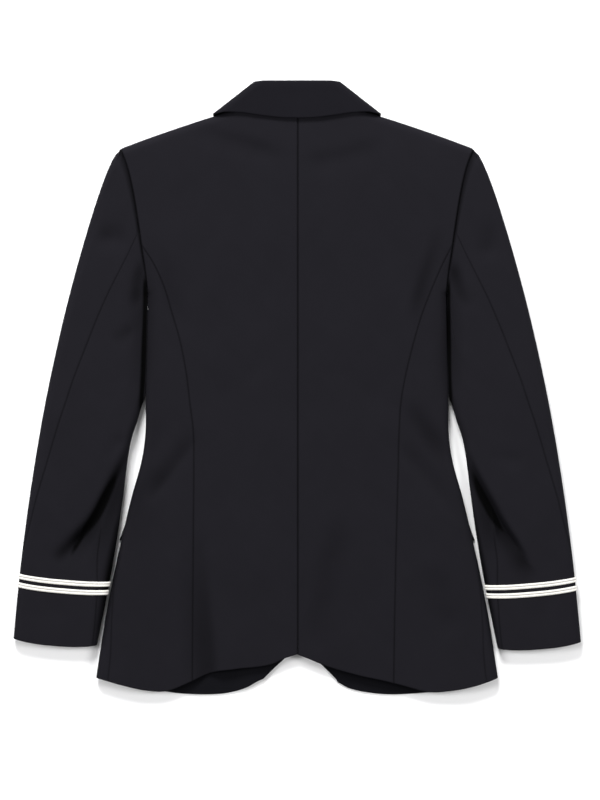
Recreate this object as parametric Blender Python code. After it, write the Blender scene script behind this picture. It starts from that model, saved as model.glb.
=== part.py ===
"""Flight attendant blazer, laid flat with its back up, built as its cut and sewn panels.

Every panel is a thin cloth wall: a grid of points between two seams, with a second grid one
wall thickness inside it. Two height fields give the upper layer (the back) and the lower
layer (the fronts). The layers meet in a rounded fold along the garment's outline.

Sizes are in millimetres and the meshes are made in metres. X runs across the garment with
the wearer's left at -X, +Y points to the collar, +Z points up from the surface it lies on.
"""

from collections import namedtuple

import bmesh
import bpy
import numpy as np

MM = 0.001

# Driving sizes.
WALL = 2.0                 # cloth with its interlining
SEAM_GAP = 0.3             # space between two panels at a seam
FOLD_REACH = 9.0           # how far the rounded outline fold reaches into the garment
CENTRE_BACK_X = 1.0        # centre back seam
CENTRE_FRONT_X = 3.0       # line where the fronts close
TIP_Y = 281.2              # shoulder tip
TIP_HALF_WIDTH = 207.7
UNDERARM_Y = 108.0
SIDE_HEM_Y = -342.0
NECK_HALF_WIDTH = 77.0
HEM_BLEND_Y = -140.0       # below this the rows turn to follow the hem
SIDE_SEAM_WRAP = 18.0      # the side seam lies this far onto the back at the hem
SIDE_SEAM_WRAP_Y = -165.0  # and starts to leave the outline here
LEFT = -1
RIGHT = 1
SIDE_NAMES = {LEFT: "left", RIGHT: "right"}
UPPER = 1
LOWER = -1

Row = namedtuple("Row", "at value")
PairRow = namedtuple("PairRow", "at left right")
Fold = namedtuple("Fold", "x0 y0 x1 y1 depth width_out width_in")
Lift = namedtuple("Lift", "x y half_x half_y height ramp")

# Outline curves: distance from the middle for each height.
BODY_EDGE = [Row(*r) for r in (
    (-345, 237.2), (-268, 225.2), (-198, 211.1), (-127, 194.5), (-92, 184.7), (-72, 180.8),
    (-45, 178.4), (-20, 178.6), (40, 177.0), (108, 175.8))]
SLEEVE_OUTER = [Row(*r) for r in (
    (-302, 335.0), (-233, 328.3), (-162, 319.7), (-92, 309.5), (-20, 297.0), (50, 282.3),
    (121, 265.2), (192, 245.5), (245, 228.3), (262, 221.3), (276, 213.8), (281.2, 208.2))]
SLEEVE_INNER = [Row(*r) for r in (
    (-310, 237.0), (-233, 221.5), (-180, 212.2), (-127, 204.6), (-76, 198.0), (-58, 194.2),
    (-40, 188.8), (-20, 183.2), (-2, 180.3), (40, 178.0), (108, 176.4))]
ARMHOLE = [Row(*r) for r in (
    (108, 175.8), (140, 179.4), (166, 183.0), (198, 187.6), (233, 193.5), (259, 199.6),
    (TIP_Y, TIP_HALF_WIDTH))]
# Height of the shoulder line and of the neck for each distance from the middle.
SHOULDER_LINE = [Row(*r) for r in (
    (0, 326.0), (50, 326.6), (77, 326.6), (97, 319.6), (112, 314.9), (145, 303.9),
    (179, 292.0), (TIP_HALF_WIDTH, TIP_Y))]
# Seams and hems that differ from side to side.
PRINCESS = [PairRow(*r) for r in (
    (-345, 123.2, 114.0), (-250, 122.6, 115.5), (-156, 122.0, 117.6), (-97, 121.5, 119.2),
    (-50, 122.3, 120.4), (-17, 126.3, 122.5), (14, 130.0, 128.0), (55, 137.8, 138.0),
    (88, 147.3, 147.8), (118, 156.3, 159.5), (145, 168.5, 171.5), (168, 183.2, 183.2))]
BACK_HEM = [PairRow(*r) for r in (
    (0, -314.5, -314.5), (14, -319.0, -320.0), (30, -326.0, -326.5), (74, -332.0, -339.5),
    (102, -336.5, -345.5), (128, -348.0, -352.0), (155, -358.0, -359.0), (178, -357.0, -358.0),
    (206, -351.0, -353.0), (225, -345.5, -347.0), (238, -342.0, -342.0))]
FRONT_HEM = [PairRow(*r) for r in (
    (0, -344.0, -344.0), (40, -344.0, -344.0), (61, -354.6, -354.6), (84, -360.5, -359.8),
    (110, -362.0, -362.0), (140, -360.6, -360.8), (155, -358.6, -359.6),
    (178, -357.0, -358.0), (206, -351.0, -353.0), (225, -345.5, -347.0),
    (238, -342.0, -342.0))]
# How far each front reaches past the centre front line, for each height.
FRONT_REACH = [Row(*r) for r in (
    (-345, -44.0), (-330, -29.0), (-319, -17.0), (-300, -3.0), (-270, 9.0), (-230, 17.0),
    (-150, 22.0), (-40, 22.0), (60, 1.0), (330, -60.0))]
# Seams of the sleeve: the hind-arm seam for each height, where it leaves the outer edge, and
# how far the forearm seam lies from the inner edge for each distance up from the cuff.
HIND_ARM = [Row(*r) for r in (
    (-400, 345.0), (-186, 320.8), (-163, 315.0), (-140, 309.3), (-93, 297.2), (-57, 286.4),
    (-10, 270.2), (44, 251.0), (115, 222.8), (160, 203.4), (196, 187.6))]
FOREARM_INSET = [Row(*r) for r in ((0, 8.0), (60, 15.0), (110, 23.0), (300, 23.0), (415, 12.0))]
CUFF_END_Y = {LEFT: (-304.0, -296.0), RIGHT: (-308.0, -300.0)}  # inner edge, outer edge
CUFF_BOW = 4.5             # the cuff's curve below a straight line
ARMHOLE_BOW = -6.5         # the armhole's curve, the other way
BOW_POWER = 2.6            # how full the curve is towards its ends
PARALLEL_HEIGHT = 200.0    # up to here the rings stay parallel to the cuff
BRAID_BANDS = {"lower": (61.2, 66.9), "upper": (71.1, 76.8)}   # distances up from the cuff
BRAID_RING = 2             # the braids lie between this ring and the next
BRAID_GAP = 0.55
BRAID_THICKNESS = 0.9
# Thickness of the laid garment for each height.
BODY_TOP = [Row(*r) for r in (
    (-362, 11.0), (-200, 12.0), (-40, 13.5), (100, 16.5), (200, 19.5), (270, 21.5),
    (362, 20.0))]
SLEEVE_TOP = [Row(*r) for r in (
    (-310, 14.0), (-150, 17.0), (0, 18.0), (108, 18.5), (200, 21.0), (281, 22.0))]

# Rows across the body, by their height at the side. The first two steps round the shoulder.
HIND_ARM_ROW = 5
PRINCESS_ROW = 6
FOREARM_ROW = 9
UNDERARM_ROW = 11
BODY_LEVELS = (281.2, 278.6, 272.2, 247.0, 218.0, 190.0, 168.0, 151.0, 134.0, 117.2, 110.6,
               108.0, 80.0, 48.0, 16.0, -16.0, -48.0, -80.0, -115.0, -155.0, -200.0, -245.0,
               -290.0, -325.0, -342.0)
# Rings down the sleeve, as distance up from the cuff along its inner edge.
RING_HEIGHTS = (0.0, 30.0, 59.0, 80.5, 100.0, 119.0, 138.0, 157.0, 176.0, 196.0, 218.0,
                242.0, 268.0, 294.0, 320.0, 346.0, 370.0, 393.0)
# Steps of a panel: one column for each of these lengths, or for each turn of this angle.
COLUMN_LENGTH = 26.0
COLUMN_TURN = 0.75
BACK_COLUMNS = 6
SIDE_BACK_COLUMNS = 4
FRONT_COLUMNS = 10
POINT_SHARE = 0.3          # the side-back's pointed end keeps this share of a step
TRACE_STEPS = 160          # fine steps along a row or an outline before its columns are set
SHOULDER_STEPS = 60
SEARCH_STEPS = 12          # rounds to find where a row meets a seam
SHOULDER_TOUCH = 1.0       # a point this near the outline lies in the shoulder fold

# Folds that the cloth is laid in: soft troughs from one point to another.
FOLD_FULL_SHARE = 0.4      # a fold keeps its depth this share of its length from its middle
FOLDS = [Fold(*r) for r in (
    (-196, -78, -243, -130, 7.0, 11.0, 16.0),
    (-243, -130, -286, -188, 8.0, 10.0, 16.0),
    (204, -90, 252, -176, 6.0, 11.0, 16.0),
    (252, -176, 276, -200, 6.5, 10.0, 14.0),
    (-118, -150, -104, -330, 3.0, 16.0, 16.0),
    (54, -140, 28, -290, 1.6, 22.0, 22.0))]
# Where a hidden piece on the floor side lifts the fronts.
LIFTS = [Lift(*r) for r in (
    (0, 160, 150, 215, 2.4, 30.0),
    (3, -38, 55, 55, 4.6, 50.0),
    (3, -135, 55, 55, 4.6, 50.0),
    (-152, -160, 90, 48, 2.4, 30.0),
    (152, -160, 90, 48, 2.4, 30.0),
    (-276, -229, 75, 24, 1.5, 26.0),
    (276, -232, 75, 24, 1.5, 26.0))]
OVERLAP_LIFT = 2.4         # the left front lies on the right one
OVERLAP_START_X = -80.0    # and rises to it from here
OVERLAP_RAMP = 32.0
SLEEVE_BLEND = 50.0        # width over which the body's height turns into the sleeve's

# The collar: its leaf edge across the back, and its rows from the leaf edge to the fold.
LEAF_EDGE = [Row(*r) for r in (
    (0, 316.8), (20, 317.4), (44, 320.2), (67, 323.4), (88, 323.8), (99.4, 322.0))]
CollarRow = namedtuple("CollarRow", "share top low")
FALL_ROWS = [CollarRow(*r) for r in (
    (0.0, 25.4, 0.0), (0.3, 24.7, 0.0), (0.65, 23.8, 0.0), (0.9, 23.0, 0.0),
    (0.97, 21.6, 0.0), (1.0, 18.0, 0.0))]
STAND_ROWS = [CollarRow(*r) for r in (
    (0.0, 20.2, 2.6), (0.5, 19.6, 2.6), (1.0, 18.8, 2.6))]
CollarShape = namedtuple(
    "CollarShape",
    "corner fold fold_y front_low front_high reach_top reach_low middle back_columns front_columns")
FALL = CollarShape(corner=(99.4, 322.0), fold=(50.0, 360.6), fold_y=361.6,
                   front_low=(90.0, 266.0), front_high=(50.0, 287.0), reach_top=15.0,
                   reach_low=12.0, middle=12.2, back_columns=12, front_columns=4)
STAND = CollarShape(corner=(81.0, 329.8), fold=(47.5, 351.0), fold_y=355.6,
                    front_low=(76.0, 328.4), front_high=(59.0, 331.0), reach_top=12.0,
                    reach_low=9.0, middle=11.8, back_columns=10, front_columns=3)
FOLD_CORNER_WIDTH = 12.0   # the fold's straight edge rounds into its slanted ends
FOLD_CORNER_POWER = 4      # only near the fold
# The lapels, by how far their edge lies from the roll line at each height.
LAPEL_WIDTH = [Row(*r) for r in ((-34, 4), (20, 24), (100, 46), (200, 60), (245, 65))]
LAPEL_TOP_Y = 284.5        # at the roll line
LAPEL_TIP_DROP = 38.0      # the lapel's tip lies this far below its top
LAPEL_START_Y = {LEFT: 68.0, RIGHT: -34.0}
LAPEL_ROWS = 8
LAPEL_COLUMNS = 3
# Pocket flaps: their inner end, the part past the side edge, and their height.
FLAP_INNER = 92.0
FLAP_PAST_EDGE = 2.4
FLAP_TOP_Y = -139.5
FLAP_DEPTH = 41.0
FLAP_ROWS = 2
FLAP_COLUMNS = 4
BUTTON_RADIUS = 9.5
BUTTON_THICKNESS = 4.0
BUTTON_EDGE = 1.2
BUTTON_SIDES = 20
BUTTON_HEIGHTS = {"upper": -38.0, "lower": -135.0}

CLOTH = ("navy suiting", (0.017, 0.017, 0.022), 0.85, 0.0)
INNER_CLOTH = ("navy collar cloth", (0.014, 0.014, 0.018), 0.85, 0.0)
BRAID = ("off-white braid", (0.80, 0.78, 0.72), 0.6, 0.0)
BUTTON = ("dark button", (0.02, 0.02, 0.025), 0.35, 0.0)


def curve(rows, column="value"):
    """Return a smooth function through a table's rows."""
    ordered = sorted(rows)
    xs = np.array([row.at for row in ordered], float)
    ys = np.array([getattr(row, column) for row in ordered], float)
    slopes = np.diff(ys) / np.diff(xs)
    tangents = np.concatenate(([slopes[0]], (slopes[1:] + slopes[:-1]) / 2, [slopes[-1]]))

    def read(x):
        x = np.clip(np.asarray(x, float), xs[0], xs[-1])
        i = np.clip(np.searchsorted(xs, x) - 1, 0, len(xs) - 2)
        h = xs[i + 1] - xs[i]
        t = (x - xs[i]) / h
        return (ys[i] * (1 + 2 * t) * (1 - t) ** 2 + tangents[i] * h * t * (1 - t) ** 2
                + ys[i + 1] * t * t * (3 - 2 * t) + tangents[i + 1] * h * t * t * (t - 1))
    return read


body_edge = curve(BODY_EDGE)
sleeve_outer = curve(SLEEVE_OUTER)
sleeve_inner = curve(SLEEVE_INNER)
armhole = curve(ARMHOLE)
shoulder_line = curve(SHOULDER_LINE)
front_reach = curve(FRONT_REACH)
body_top = curve(BODY_TOP)
sleeve_top = curve(SLEEVE_TOP)
leaf_edge = curve(LEAF_EDGE)
lapel_width = curve(LAPEL_WIDTH)
hind_arm = curve(HIND_ARM)
forearm_inset = curve(FOREARM_INSET)
princess = {side: curve(PRINCESS, SIDE_NAMES[side]) for side in SIDE_NAMES}
back_hem = {side: curve(BACK_HEM, SIDE_NAMES[side]) for side in SIDE_NAMES}
front_hem = {side: curve(FRONT_HEM, SIDE_NAMES[side]) for side in SIDE_NAMES}


def smooth_step(t):
    """Ease from 0 to 1 as t goes from 0 to 1."""
    t = np.clip(t, 0, 1)
    return t * t * (3 - 2 * t)


def distance_to_line(x, y, line):
    """Return the distance from each point to a polyline."""
    x = np.asarray(x, float)[..., None]
    y = np.asarray(y, float)[..., None]
    ax, ay = line[:-1, 0], line[:-1, 1]
    dx, dy = np.diff(line[:, 0]), np.diff(line[:, 1])
    t = np.clip(((x - ax) * dx + (y - ay) * dy) / (dx * dx + dy * dy), 0, 1)
    return np.sqrt((x - ax - t * dx) ** 2 + (y - ay - t * dy) ** 2).min(axis=-1)


def edge_lines():
    """Return the outline as polylines: outer edge, body side edge and inner sleeve edge."""
    across = np.linspace(NECK_HALF_WIDTH, TIP_HALF_WIDTH, SHOULDER_STEPS)
    down = np.linspace(TIP_Y, SLEEVE_OUTER[0].at, TRACE_STEPS)[1:]
    outer = np.concatenate((np.column_stack((across, shoulder_line(across))),
                            np.column_stack((sleeve_outer(down), down))))
    low = np.linspace(UNDERARM_Y, BODY_EDGE[0].at, TRACE_STEPS)
    body = np.column_stack((body_edge(low), low))
    inner = np.column_stack((sleeve_inner(low), low))
    return outer, body, inner


OUTER_LINE, BODY_LINE, INNER_LINE = edge_lines()


def fold_profile(d):
    """Return the share of the full height at a distance inside the outline."""
    u = np.clip(d / FOLD_REACH, 0, 1)
    return np.sqrt(np.maximum(1 - (1 - u) ** 2, 0))


def fold_depth(x, y):
    """Return how deep the laid-in folds press the upper layer."""
    depth = 0
    for f in FOLDS:
        length = np.hypot(f.x1 - f.x0, f.y1 - f.y0)
        ux, uy = (f.x1 - f.x0) / length, (f.y1 - f.y0) / length
        along = ((x - f.x0) * ux + (y - f.y0) * uy) / length
        across = -(x - f.x0) * uy + (y - f.y0) * ux
        outside = across * np.sign(f.x0) > 0
        width = np.where(outside, f.width_out, f.width_in)
        ends = np.exp(-(np.maximum(np.abs(along - 0.5) - FOLD_FULL_SHARE, 0) * length / width) ** 2)
        depth = np.maximum(depth, f.depth * np.exp(-(across / width) ** 2) * ends)
    return depth


def lift_height(x, y):
    """Return how far pieces on the floor side lift the lower layer."""
    height = 0
    for lift in LIFTS:
        dx = np.maximum(np.abs(x - lift.x) - lift.half_x, 0)
        dy = np.maximum(np.abs(y - lift.y) - lift.half_y, 0)
        share = smooth_step(1 - np.hypot(dx, dy) / lift.ramp)
        height = np.maximum(height, lift.height * share)
    return height


def surface_z(x, y, layer, sleeve=False):
    """Return the outer height of the upper or the lower layer."""
    x, y = np.asarray(x, float), np.asarray(y, float)
    away = np.abs(x)
    blend = smooth_step((away - armhole(np.maximum(y, UNDERARM_Y))) / SLEEVE_BLEND + 0.5)
    top = body_top(y) * (1 - blend) + sleeve_top(y) * blend - fold_depth(x, y)
    low = lift_height(x, y)
    middle = (top + low) / 2
    inner_line = INNER_LINE if sleeve else BODY_LINE
    share = (fold_profile(distance_to_line(away, y, OUTER_LINE))
             * fold_profile(distance_to_line(away, y, inner_line)))
    full = top if layer == UPPER else low
    return middle + share * (full - middle)


def row_y(level, x, side, layer):
    """Return the height of a body row: it turns to the shoulder above and the hem below."""
    away = np.abs(x)
    hem = (back_hem if layer == UPPER else front_hem)[side](away)
    up = np.clip((level - UNDERARM_Y) / (TIP_Y - UNDERARM_Y), 0, 1)
    down = np.clip((HEM_BLEND_Y - level) / (HEM_BLEND_Y - SIDE_HEM_Y), 0, 1)
    return level + up * (shoulder_line(away) - TIP_Y) + down * (hem - SIDE_HEM_Y)


def meet(level, side, layer, seam):
    """Return the distance from the middle where a row meets a seam."""
    away = BODY_EDGE[-1].value
    for _ in range(SEARCH_STEPS):
        away = seam(row_y(level, away, side, layer))
    return float(away)


def front_edge_x(y, side):
    """Return the x of a front's closing edge."""
    return CENTRE_FRONT_X - side * front_reach(y)


def layer_path(xs, level, side, layer):
    """Return the points of a body row along one layer."""
    ys = row_y(level, xs, side, layer)
    return np.column_stack((xs, ys, surface_z(xs, ys, layer)))


def eased(start, end, count=TRACE_STEPS):
    """Return values from start to end, closer together at both ends."""
    t = (1 - np.cos(np.linspace(0, np.pi, count))) / 2
    return start + (end - start) * t


def along(points):
    """Return the length along a path at each of its points."""
    return np.concatenate(([0], np.cumsum(np.linalg.norm(np.diff(points, axis=0), axis=1))))


def cut_path(points, start, end):
    """Return the stretch of a path between two lengths along it."""
    lengths = along(points)
    inside = (lengths > start + 1e-6) & (lengths < end - 1e-6)
    places = np.concatenate(([start], lengths[inside], [end]))
    return np.column_stack([np.interp(places, lengths, points[:, i]) for i in range(3)])


def spread(points, columns):
    """Place columns along a path, evenly by its length and by its turning, with its ways."""
    steps = np.diff(points, axis=0)
    lengths = np.linalg.norm(steps, axis=1)
    keep = np.concatenate(([True], lengths > 1e-7))
    points, steps, lengths = points[keep], steps[keep[1:]], lengths[keep[1:]]
    ways = steps / lengths[:, None]
    turns = np.arccos(np.clip((ways[1:] * ways[:-1]).sum(axis=1), -1, 1))
    turns = np.concatenate(([0], turns)) / 2 + np.concatenate((turns, [0])) / 2
    measure = np.concatenate(([0], np.cumsum(lengths / COLUMN_LENGTH + turns / COLUMN_TURN)))
    places = np.linspace(0, measure[-1], columns + 1)
    middles = (measure[1:] + measure[:-1]) / 2
    spots = np.column_stack([np.interp(places, measure, points[:, i]) for i in range(3)])
    heads = np.column_stack([np.interp(places, middles, ways[:, i]) for i in range(3)])
    return spots, heads


def unit(vectors):
    """Return vectors of length one."""
    return vectors / np.maximum(np.linalg.norm(vectors, axis=-1, keepdims=True), 1e-12)


def down_ways(grid, first=None):
    """Return the way from row to row at each grid point."""
    ways = np.empty_like(grid)
    ways[1:-1] = unit(grid[1:-1] - grid[:-2]) + unit(grid[2:] - grid[1:-1])
    ways[0] = grid[1] - grid[0]
    ways[-1] = grid[-1] - grid[-2]
    if first is not None:
        upright = np.linalg.norm(first, axis=1) > 0
        ways[0][upright] = first[upright]
    return unit(ways)


def offset_grid(grid, across, reference, distance, first=None):
    """Return the grid moved along its normals; the reference point says which way is out."""
    normals = unit(np.cross(across, down_ways(grid, first)))
    row, column, layer = reference
    if normals[row, column, 2] * layer < 0:
        normals = -normals
    return grid + normals * distance


def sheet_solid(name, outer, inner, finish, ring=False):
    """Build a closed wall between two grids of points; a ring joins its last column."""
    rows, columns = outer.shape[:2]
    mesh = bmesh.new()
    sheets = []
    for grid in (outer, inner):
        sheets.append([[mesh.verts.new(point * MM) for point in line] for line in grid])
    spans = columns if ring else columns - 1
    for sheet in sheets:
        for i in range(rows - 1):
            for j in range(spans):
                k = (j + 1) % columns
                mesh.faces.new((sheet[i][j], sheet[i][k], sheet[i + 1][k], sheet[i + 1][j]))
    a, b = sheets
    for j in range(spans):
        k = (j + 1) % columns
        mesh.faces.new((a[0][j], b[0][j], b[0][k], a[0][k]))
        mesh.faces.new((a[-1][j], a[-1][k], b[-1][k], b[-1][j]))
    if not ring:
        for i in range(rows - 1):
            mesh.faces.new((a[i][0], a[i + 1][0], b[i + 1][0], b[i][0]))
            mesh.faces.new((a[i][-1], b[i][-1], b[i + 1][-1], a[i + 1][-1]))
    bmesh.ops.triangulate(mesh, faces=mesh.faces[:])
    bmesh.ops.recalc_face_normals(mesh, faces=mesh.faces[:])
    return add_object(name, mesh, finish)


def material(finish):
    """Return the named plain material, made once."""
    name, colour, roughness, metallic = finish
    made = bpy.data.materials.get(name)
    if made is None:
        made = bpy.data.materials.new(name)
        made.use_nodes = True
        shader = made.node_tree.nodes["Principled BSDF"]
        shader.inputs["Base Color"].default_value = (*colour, 1.0)
        shader.inputs["Roughness"].default_value = roughness
        shader.inputs["Metallic"].default_value = metallic
    return made


def add_object(name, mesh, finish):
    """Turn a bmesh into a named object with its material."""
    data = bpy.data.meshes.new(name)
    mesh.to_mesh(data)
    mesh.free()
    data.materials.append(material(finish))
    thing = bpy.data.objects.new(name, data)
    bpy.context.collection.objects.link(thing)
    return thing


def half_row(side, k, layer):
    """Return one layer of a body row from the middle to the armhole or the side edge."""
    level = BODY_LEVELS[k]
    limit = armhole if k <= UNDERARM_ROW else body_edge
    away = meet(level, side, layer, limit)
    start = CENTRE_BACK_X
    if layer == LOWER:
        start = front_edge_x(level, side)
        for _ in range(SEARCH_STEPS):
            start = front_edge_x(float(row_y(level, start, side, layer)), side)
    path = layer_path(eased(start, side * away), level, side, layer)
    if k == 0:
        path[:, 2] += layer * SEAM_GAP / 2
    return path


def length_at(path, away):
    """Return the length along a path where it is this far from the middle."""
    return float(np.interp(away, np.abs(path[:, 0]), along(path)))


def wrap_length(level):
    """Return how far the side seam lies onto the back."""
    drop = (SIDE_SEAM_WRAP_Y - level) / (SIDE_SEAM_WRAP_Y - SIDE_HEM_Y)
    return SIDE_SEAM_WRAP * float(smooth_step(drop))


def upright_first(grid, layer):
    """Return upright ways for first-row points that lie in the shoulder fold."""
    folded = distance_to_line(np.abs(grid[0][:, 0]), grid[0][:, 1], OUTER_LINE) < SHOULDER_TOUCH
    ways = np.zeros_like(grid[0])
    ways[folded] = (0, 0, layer)
    return ways


def build_panel(name, paths, columns, reference, layer):
    """Spread columns on each row's path and build the wall."""
    spots, heads = zip(*(spread(path, columns) for path in paths))
    grid, across = np.array(spots), np.array(heads)
    first = upright_first(grid, layer)
    inner = offset_grid(grid, across, reference, -WALL, first)
    sheet_solid(name, grid, inner, CLOTH)
    return grid, inner


def build_back(side):
    """Build a back panel, from the centre back seam to the armhole and princess seam."""
    paths = []
    for k, level in enumerate(BODY_LEVELS):
        path = half_row(side, k, UPPER)
        end = along(path)[-1]
        if k > PRINCESS_ROW:
            end = length_at(path, meet(level, side, UPPER, princess[side]))
        paths.append(cut_path(path, SEAM_GAP / 2, end - SEAM_GAP / 2))
    reference = (UNDERARM_ROW, BACK_COLUMNS // 2, UPPER)
    return build_panel("back_" + SIDE_NAMES[side], paths, BACK_COLUMNS, reference, UPPER)


def build_side_back(side):
    """Build a side-back panel, which starts as a point at the armhole."""
    paths = []
    for k in range(PRINCESS_ROW + 1, len(BODY_LEVELS)):
        level = BODY_LEVELS[k]
        path = half_row(side, k, UPPER)
        start = length_at(path, meet(level, side, UPPER, princess[side]))
        end = along(path)[-1] - wrap_length(level)
        paths.append(cut_path(path, start + SEAM_GAP / 2, end - SEAM_GAP / 2))
    point = half_row(side, PRINCESS_ROW, UPPER)[-1]
    ends = [point + POINT_SHARE * (paths[0][i] - point) for i in (0, -1)]
    inset = unit(ends[1] - ends[0]) * SEAM_GAP / 2
    paths.insert(0, np.linspace(ends[0] + inset, ends[1] - inset, TRACE_STEPS))
    reference = (len(paths) // 2, SIDE_BACK_COLUMNS // 2, UPPER)
    return build_panel("side_back_" + SIDE_NAMES[side], paths, SIDE_BACK_COLUMNS, reference, UPPER)


def build_front(side):
    """Build a front panel, which wraps round the side edge to the side seam."""
    paths = []
    for k, level in enumerate(BODY_LEVELS):
        lower = half_row(side, k, LOWER)
        if side == LEFT:
            rise = smooth_step((lower[:, 0] - OVERLAP_START_X) / OVERLAP_RAMP)
            lower[:, 2] += OVERLAP_LIFT * rise
        path = lower[::-1]
        start = SEAM_GAP / 2
        if k > UNDERARM_ROW:
            upper = half_row(side, k, UPPER)
            start += along(upper)[-1] - wrap_length(level)
            path = np.concatenate((upper[:-1], path))
        paths.append(cut_path(path, start, along(path)[-1]))
    reference = (UNDERARM_ROW, FRONT_COLUMNS // 2, LOWER)
    return build_panel("front_" + SIDE_NAMES[side], paths, FRONT_COLUMNS, reference, LOWER)


def up_the_edge(edge, start_y):
    """Return points of a sleeve edge from the cuff up to the armhole, and their lengths."""
    ys = np.linspace(start_y, TIP_Y if edge is sleeve_outer else UNDERARM_Y, TRACE_STEPS)
    points = np.column_stack((edge(ys), ys, np.zeros_like(ys)))
    return points, along(points)


def ring_trace(side, height):
    """Return a sleeve ring's flat trace from its inner edge to its outer edge."""
    inner, inner_lengths = up_the_edge(sleeve_inner, CUFF_END_Y[side][0])
    outer, outer_lengths = up_the_edge(sleeve_outer, CUFF_END_Y[side][1])
    rise = max(height - PARALLEL_HEIGHT, 0) / (inner_lengths[-1] - PARALLEL_HEIGHT)
    outer_height = height + rise ** 2 * (outer_lengths[-1] - inner_lengths[-1])
    a = [np.interp(height, inner_lengths, inner[:, i]) for i in (0, 1)]
    b = [np.interp(outer_height, outer_lengths, outer[:, i]) for i in (0, 1)]
    t = eased(0.0, 1.0)
    share = height / inner_lengths[-1]
    bow = CUFF_BOW + (ARMHOLE_BOW - CUFF_BOW) * share
    arch = bow * (1 - np.abs(2 * t - 1) ** BOW_POWER)
    span = np.hypot(b[0] - a[0], b[1] - a[1])
    x = a[0] + (b[0] - a[0]) * t + arch * (b[1] - a[1]) / span
    y = a[1] + (b[1] - a[1]) * t - arch * (b[0] - a[0]) / span
    return side * x, y


def ring_paths(side, height):
    """Return the under and top stretches of one sleeve ring, from seam to seam."""
    x, y = ring_trace(side, height)
    upper = np.column_stack((x, y, surface_z(x, y, UPPER, True)))
    lower = np.column_stack((x, y, surface_z(x, y, LOWER, True)))
    inset = float(forearm_inset(height))
    lengths = along(upper)
    loop = np.concatenate((cut_path(upper, inset, lengths[-1]), lower[::-1][1:],
                           cut_path(upper, 0.0, inset)[1:]))
    outside = np.abs(upper[:, 0]) - hind_arm(upper[:, 1])
    crossed = np.nonzero(outside > 0)[0]
    seam = lengths[-1]
    if len(crossed):
        i = crossed[0]
        seam = np.interp(0, (outside[i - 1], outside[i]), (lengths[i - 1], lengths[i]))
    seam -= inset
    half_gap = SEAM_GAP / 2
    under = cut_path(loop, half_gap, seam - half_gap)
    top = cut_path(loop, seam + half_gap, along(loop)[-1] - half_gap)
    return under, top


def armhole_ring(side, back, side_back, front, face):
    """Return the sleeve's first ring, beside the body panels' edge points on one face."""
    shift = np.array((side * SEAM_GAP, 0, 0))
    ends = {}
    for k in range(UNDERARM_ROW + 1):
        upper = back[face][k, -1] if k <= PRINCESS_ROW else side_back[face][k - PRINCESS_ROW, -1]
        ends[k, UPPER] = upper + shift
        ends[k, LOWER] = front[face][k, 0] + shift
    ends[0, UPPER] = (ends[0, UPPER] + ends[0, LOWER]) / 2
    crotch = (side_back[0][UNDERARM_ROW - PRINCESS_ROW, -1] + front[0][UNDERARM_ROW, 0]) / 2
    ends[UNDERARM_ROW, LOWER] = crotch + shift + (0, face * WALL, 0)
    under = np.array([ends[k, UPPER] for k in range(FOREARM_ROW, HIND_ARM_ROW - 1, -1)])
    order = [(k, UPPER) for k in range(HIND_ARM_ROW, -1, -1)]
    order += [(k, LOWER) for k in range(1, UNDERARM_ROW + 1)]
    order += [(k, UPPER) for k in range(UNDERARM_ROW - 1, FOREARM_ROW - 1, -1)]
    return under, np.array([ends[key] for key in order])


def middle_ways(points):
    """Return the ways along a short row of points."""
    steps = unit(np.diff(points, axis=0))
    return unit(np.concatenate((steps[:1], steps[1:] + steps[:-1], steps[-1:])))


def inset_ends(points, distance):
    """Return a row of points with its two ends drawn in."""
    drawn = points.copy()
    drawn[0] += unit(points[1] - points[0]) * distance
    drawn[-1] += unit(points[-2] - points[-1]) * distance
    return drawn


def build_sleeve(side, back, side_back, front):
    """Build the under and top panels of a sleeve, and return their outer grids."""
    grids = []
    for index, part in enumerate(("undersleeve_", "topsleeve_")):
        first = armhole_ring(side, back, side_back, front, 0)[index]
        columns = len(first) - 1
        spots, heads = [], []
        for height in RING_HEIGHTS:
            points, ways = spread(ring_paths(side, height)[index], columns)
            spots.append(points)
            heads.append(ways)
        spots.append(inset_ends(first, SEAM_GAP / 2))
        heads.append(middle_ways(first))
        grid, across = np.array(spots), np.array(heads)
        middle = len(RING_HEIGHTS) // 2
        reference = (middle, columns // 2, UPPER if index == 0 else LOWER)
        inner = offset_grid(grid, across, reference, -WALL)
        seat = armhole_ring(side, back, side_back, front, 1)[index]
        inner[-1] = inset_ends(seat, SEAM_GAP / 2)
        sheet_solid(part + SIDE_NAMES[side], grid, inner, CLOTH)
        grids.append(grid)
    return grids


def build_braids(side, under, top):
    """Build the closed braids from the sleeve's own points, moved out."""
    joined = []
    for i in (BRAID_RING, BRAID_RING + 1):
        seams = ((under[i][-1] + top[i][0]) / 2, (top[i][-1] + under[i][0]) / 2)
        joined.append(np.concatenate((under[i][1:-1], seams[:1], top[i][1:-1], seams[1:])))
    joined = np.array(joined)
    across = unit(np.roll(joined, -1, axis=1) - np.roll(joined, 1, axis=1))
    low, high = RING_HEIGHTS[BRAID_RING], RING_HEIGHTS[BRAID_RING + 1]
    for name, band in BRAID_BANDS.items():
        shares = [(height - low) / (high - low) for height in band]
        rows = np.array([joined[0] + (joined[1] - joined[0]) * share for share in shares])
        reference = (0, 1, UPPER)
        near = offset_grid(rows, across, reference, BRAID_GAP)
        far = offset_grid(rows, across, reference, BRAID_GAP + BRAID_THICKNESS)
        sheet_solid("braid_%s_%s" % (name, SIDE_NAMES[side]), far, near, BRAID, ring=True)


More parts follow.
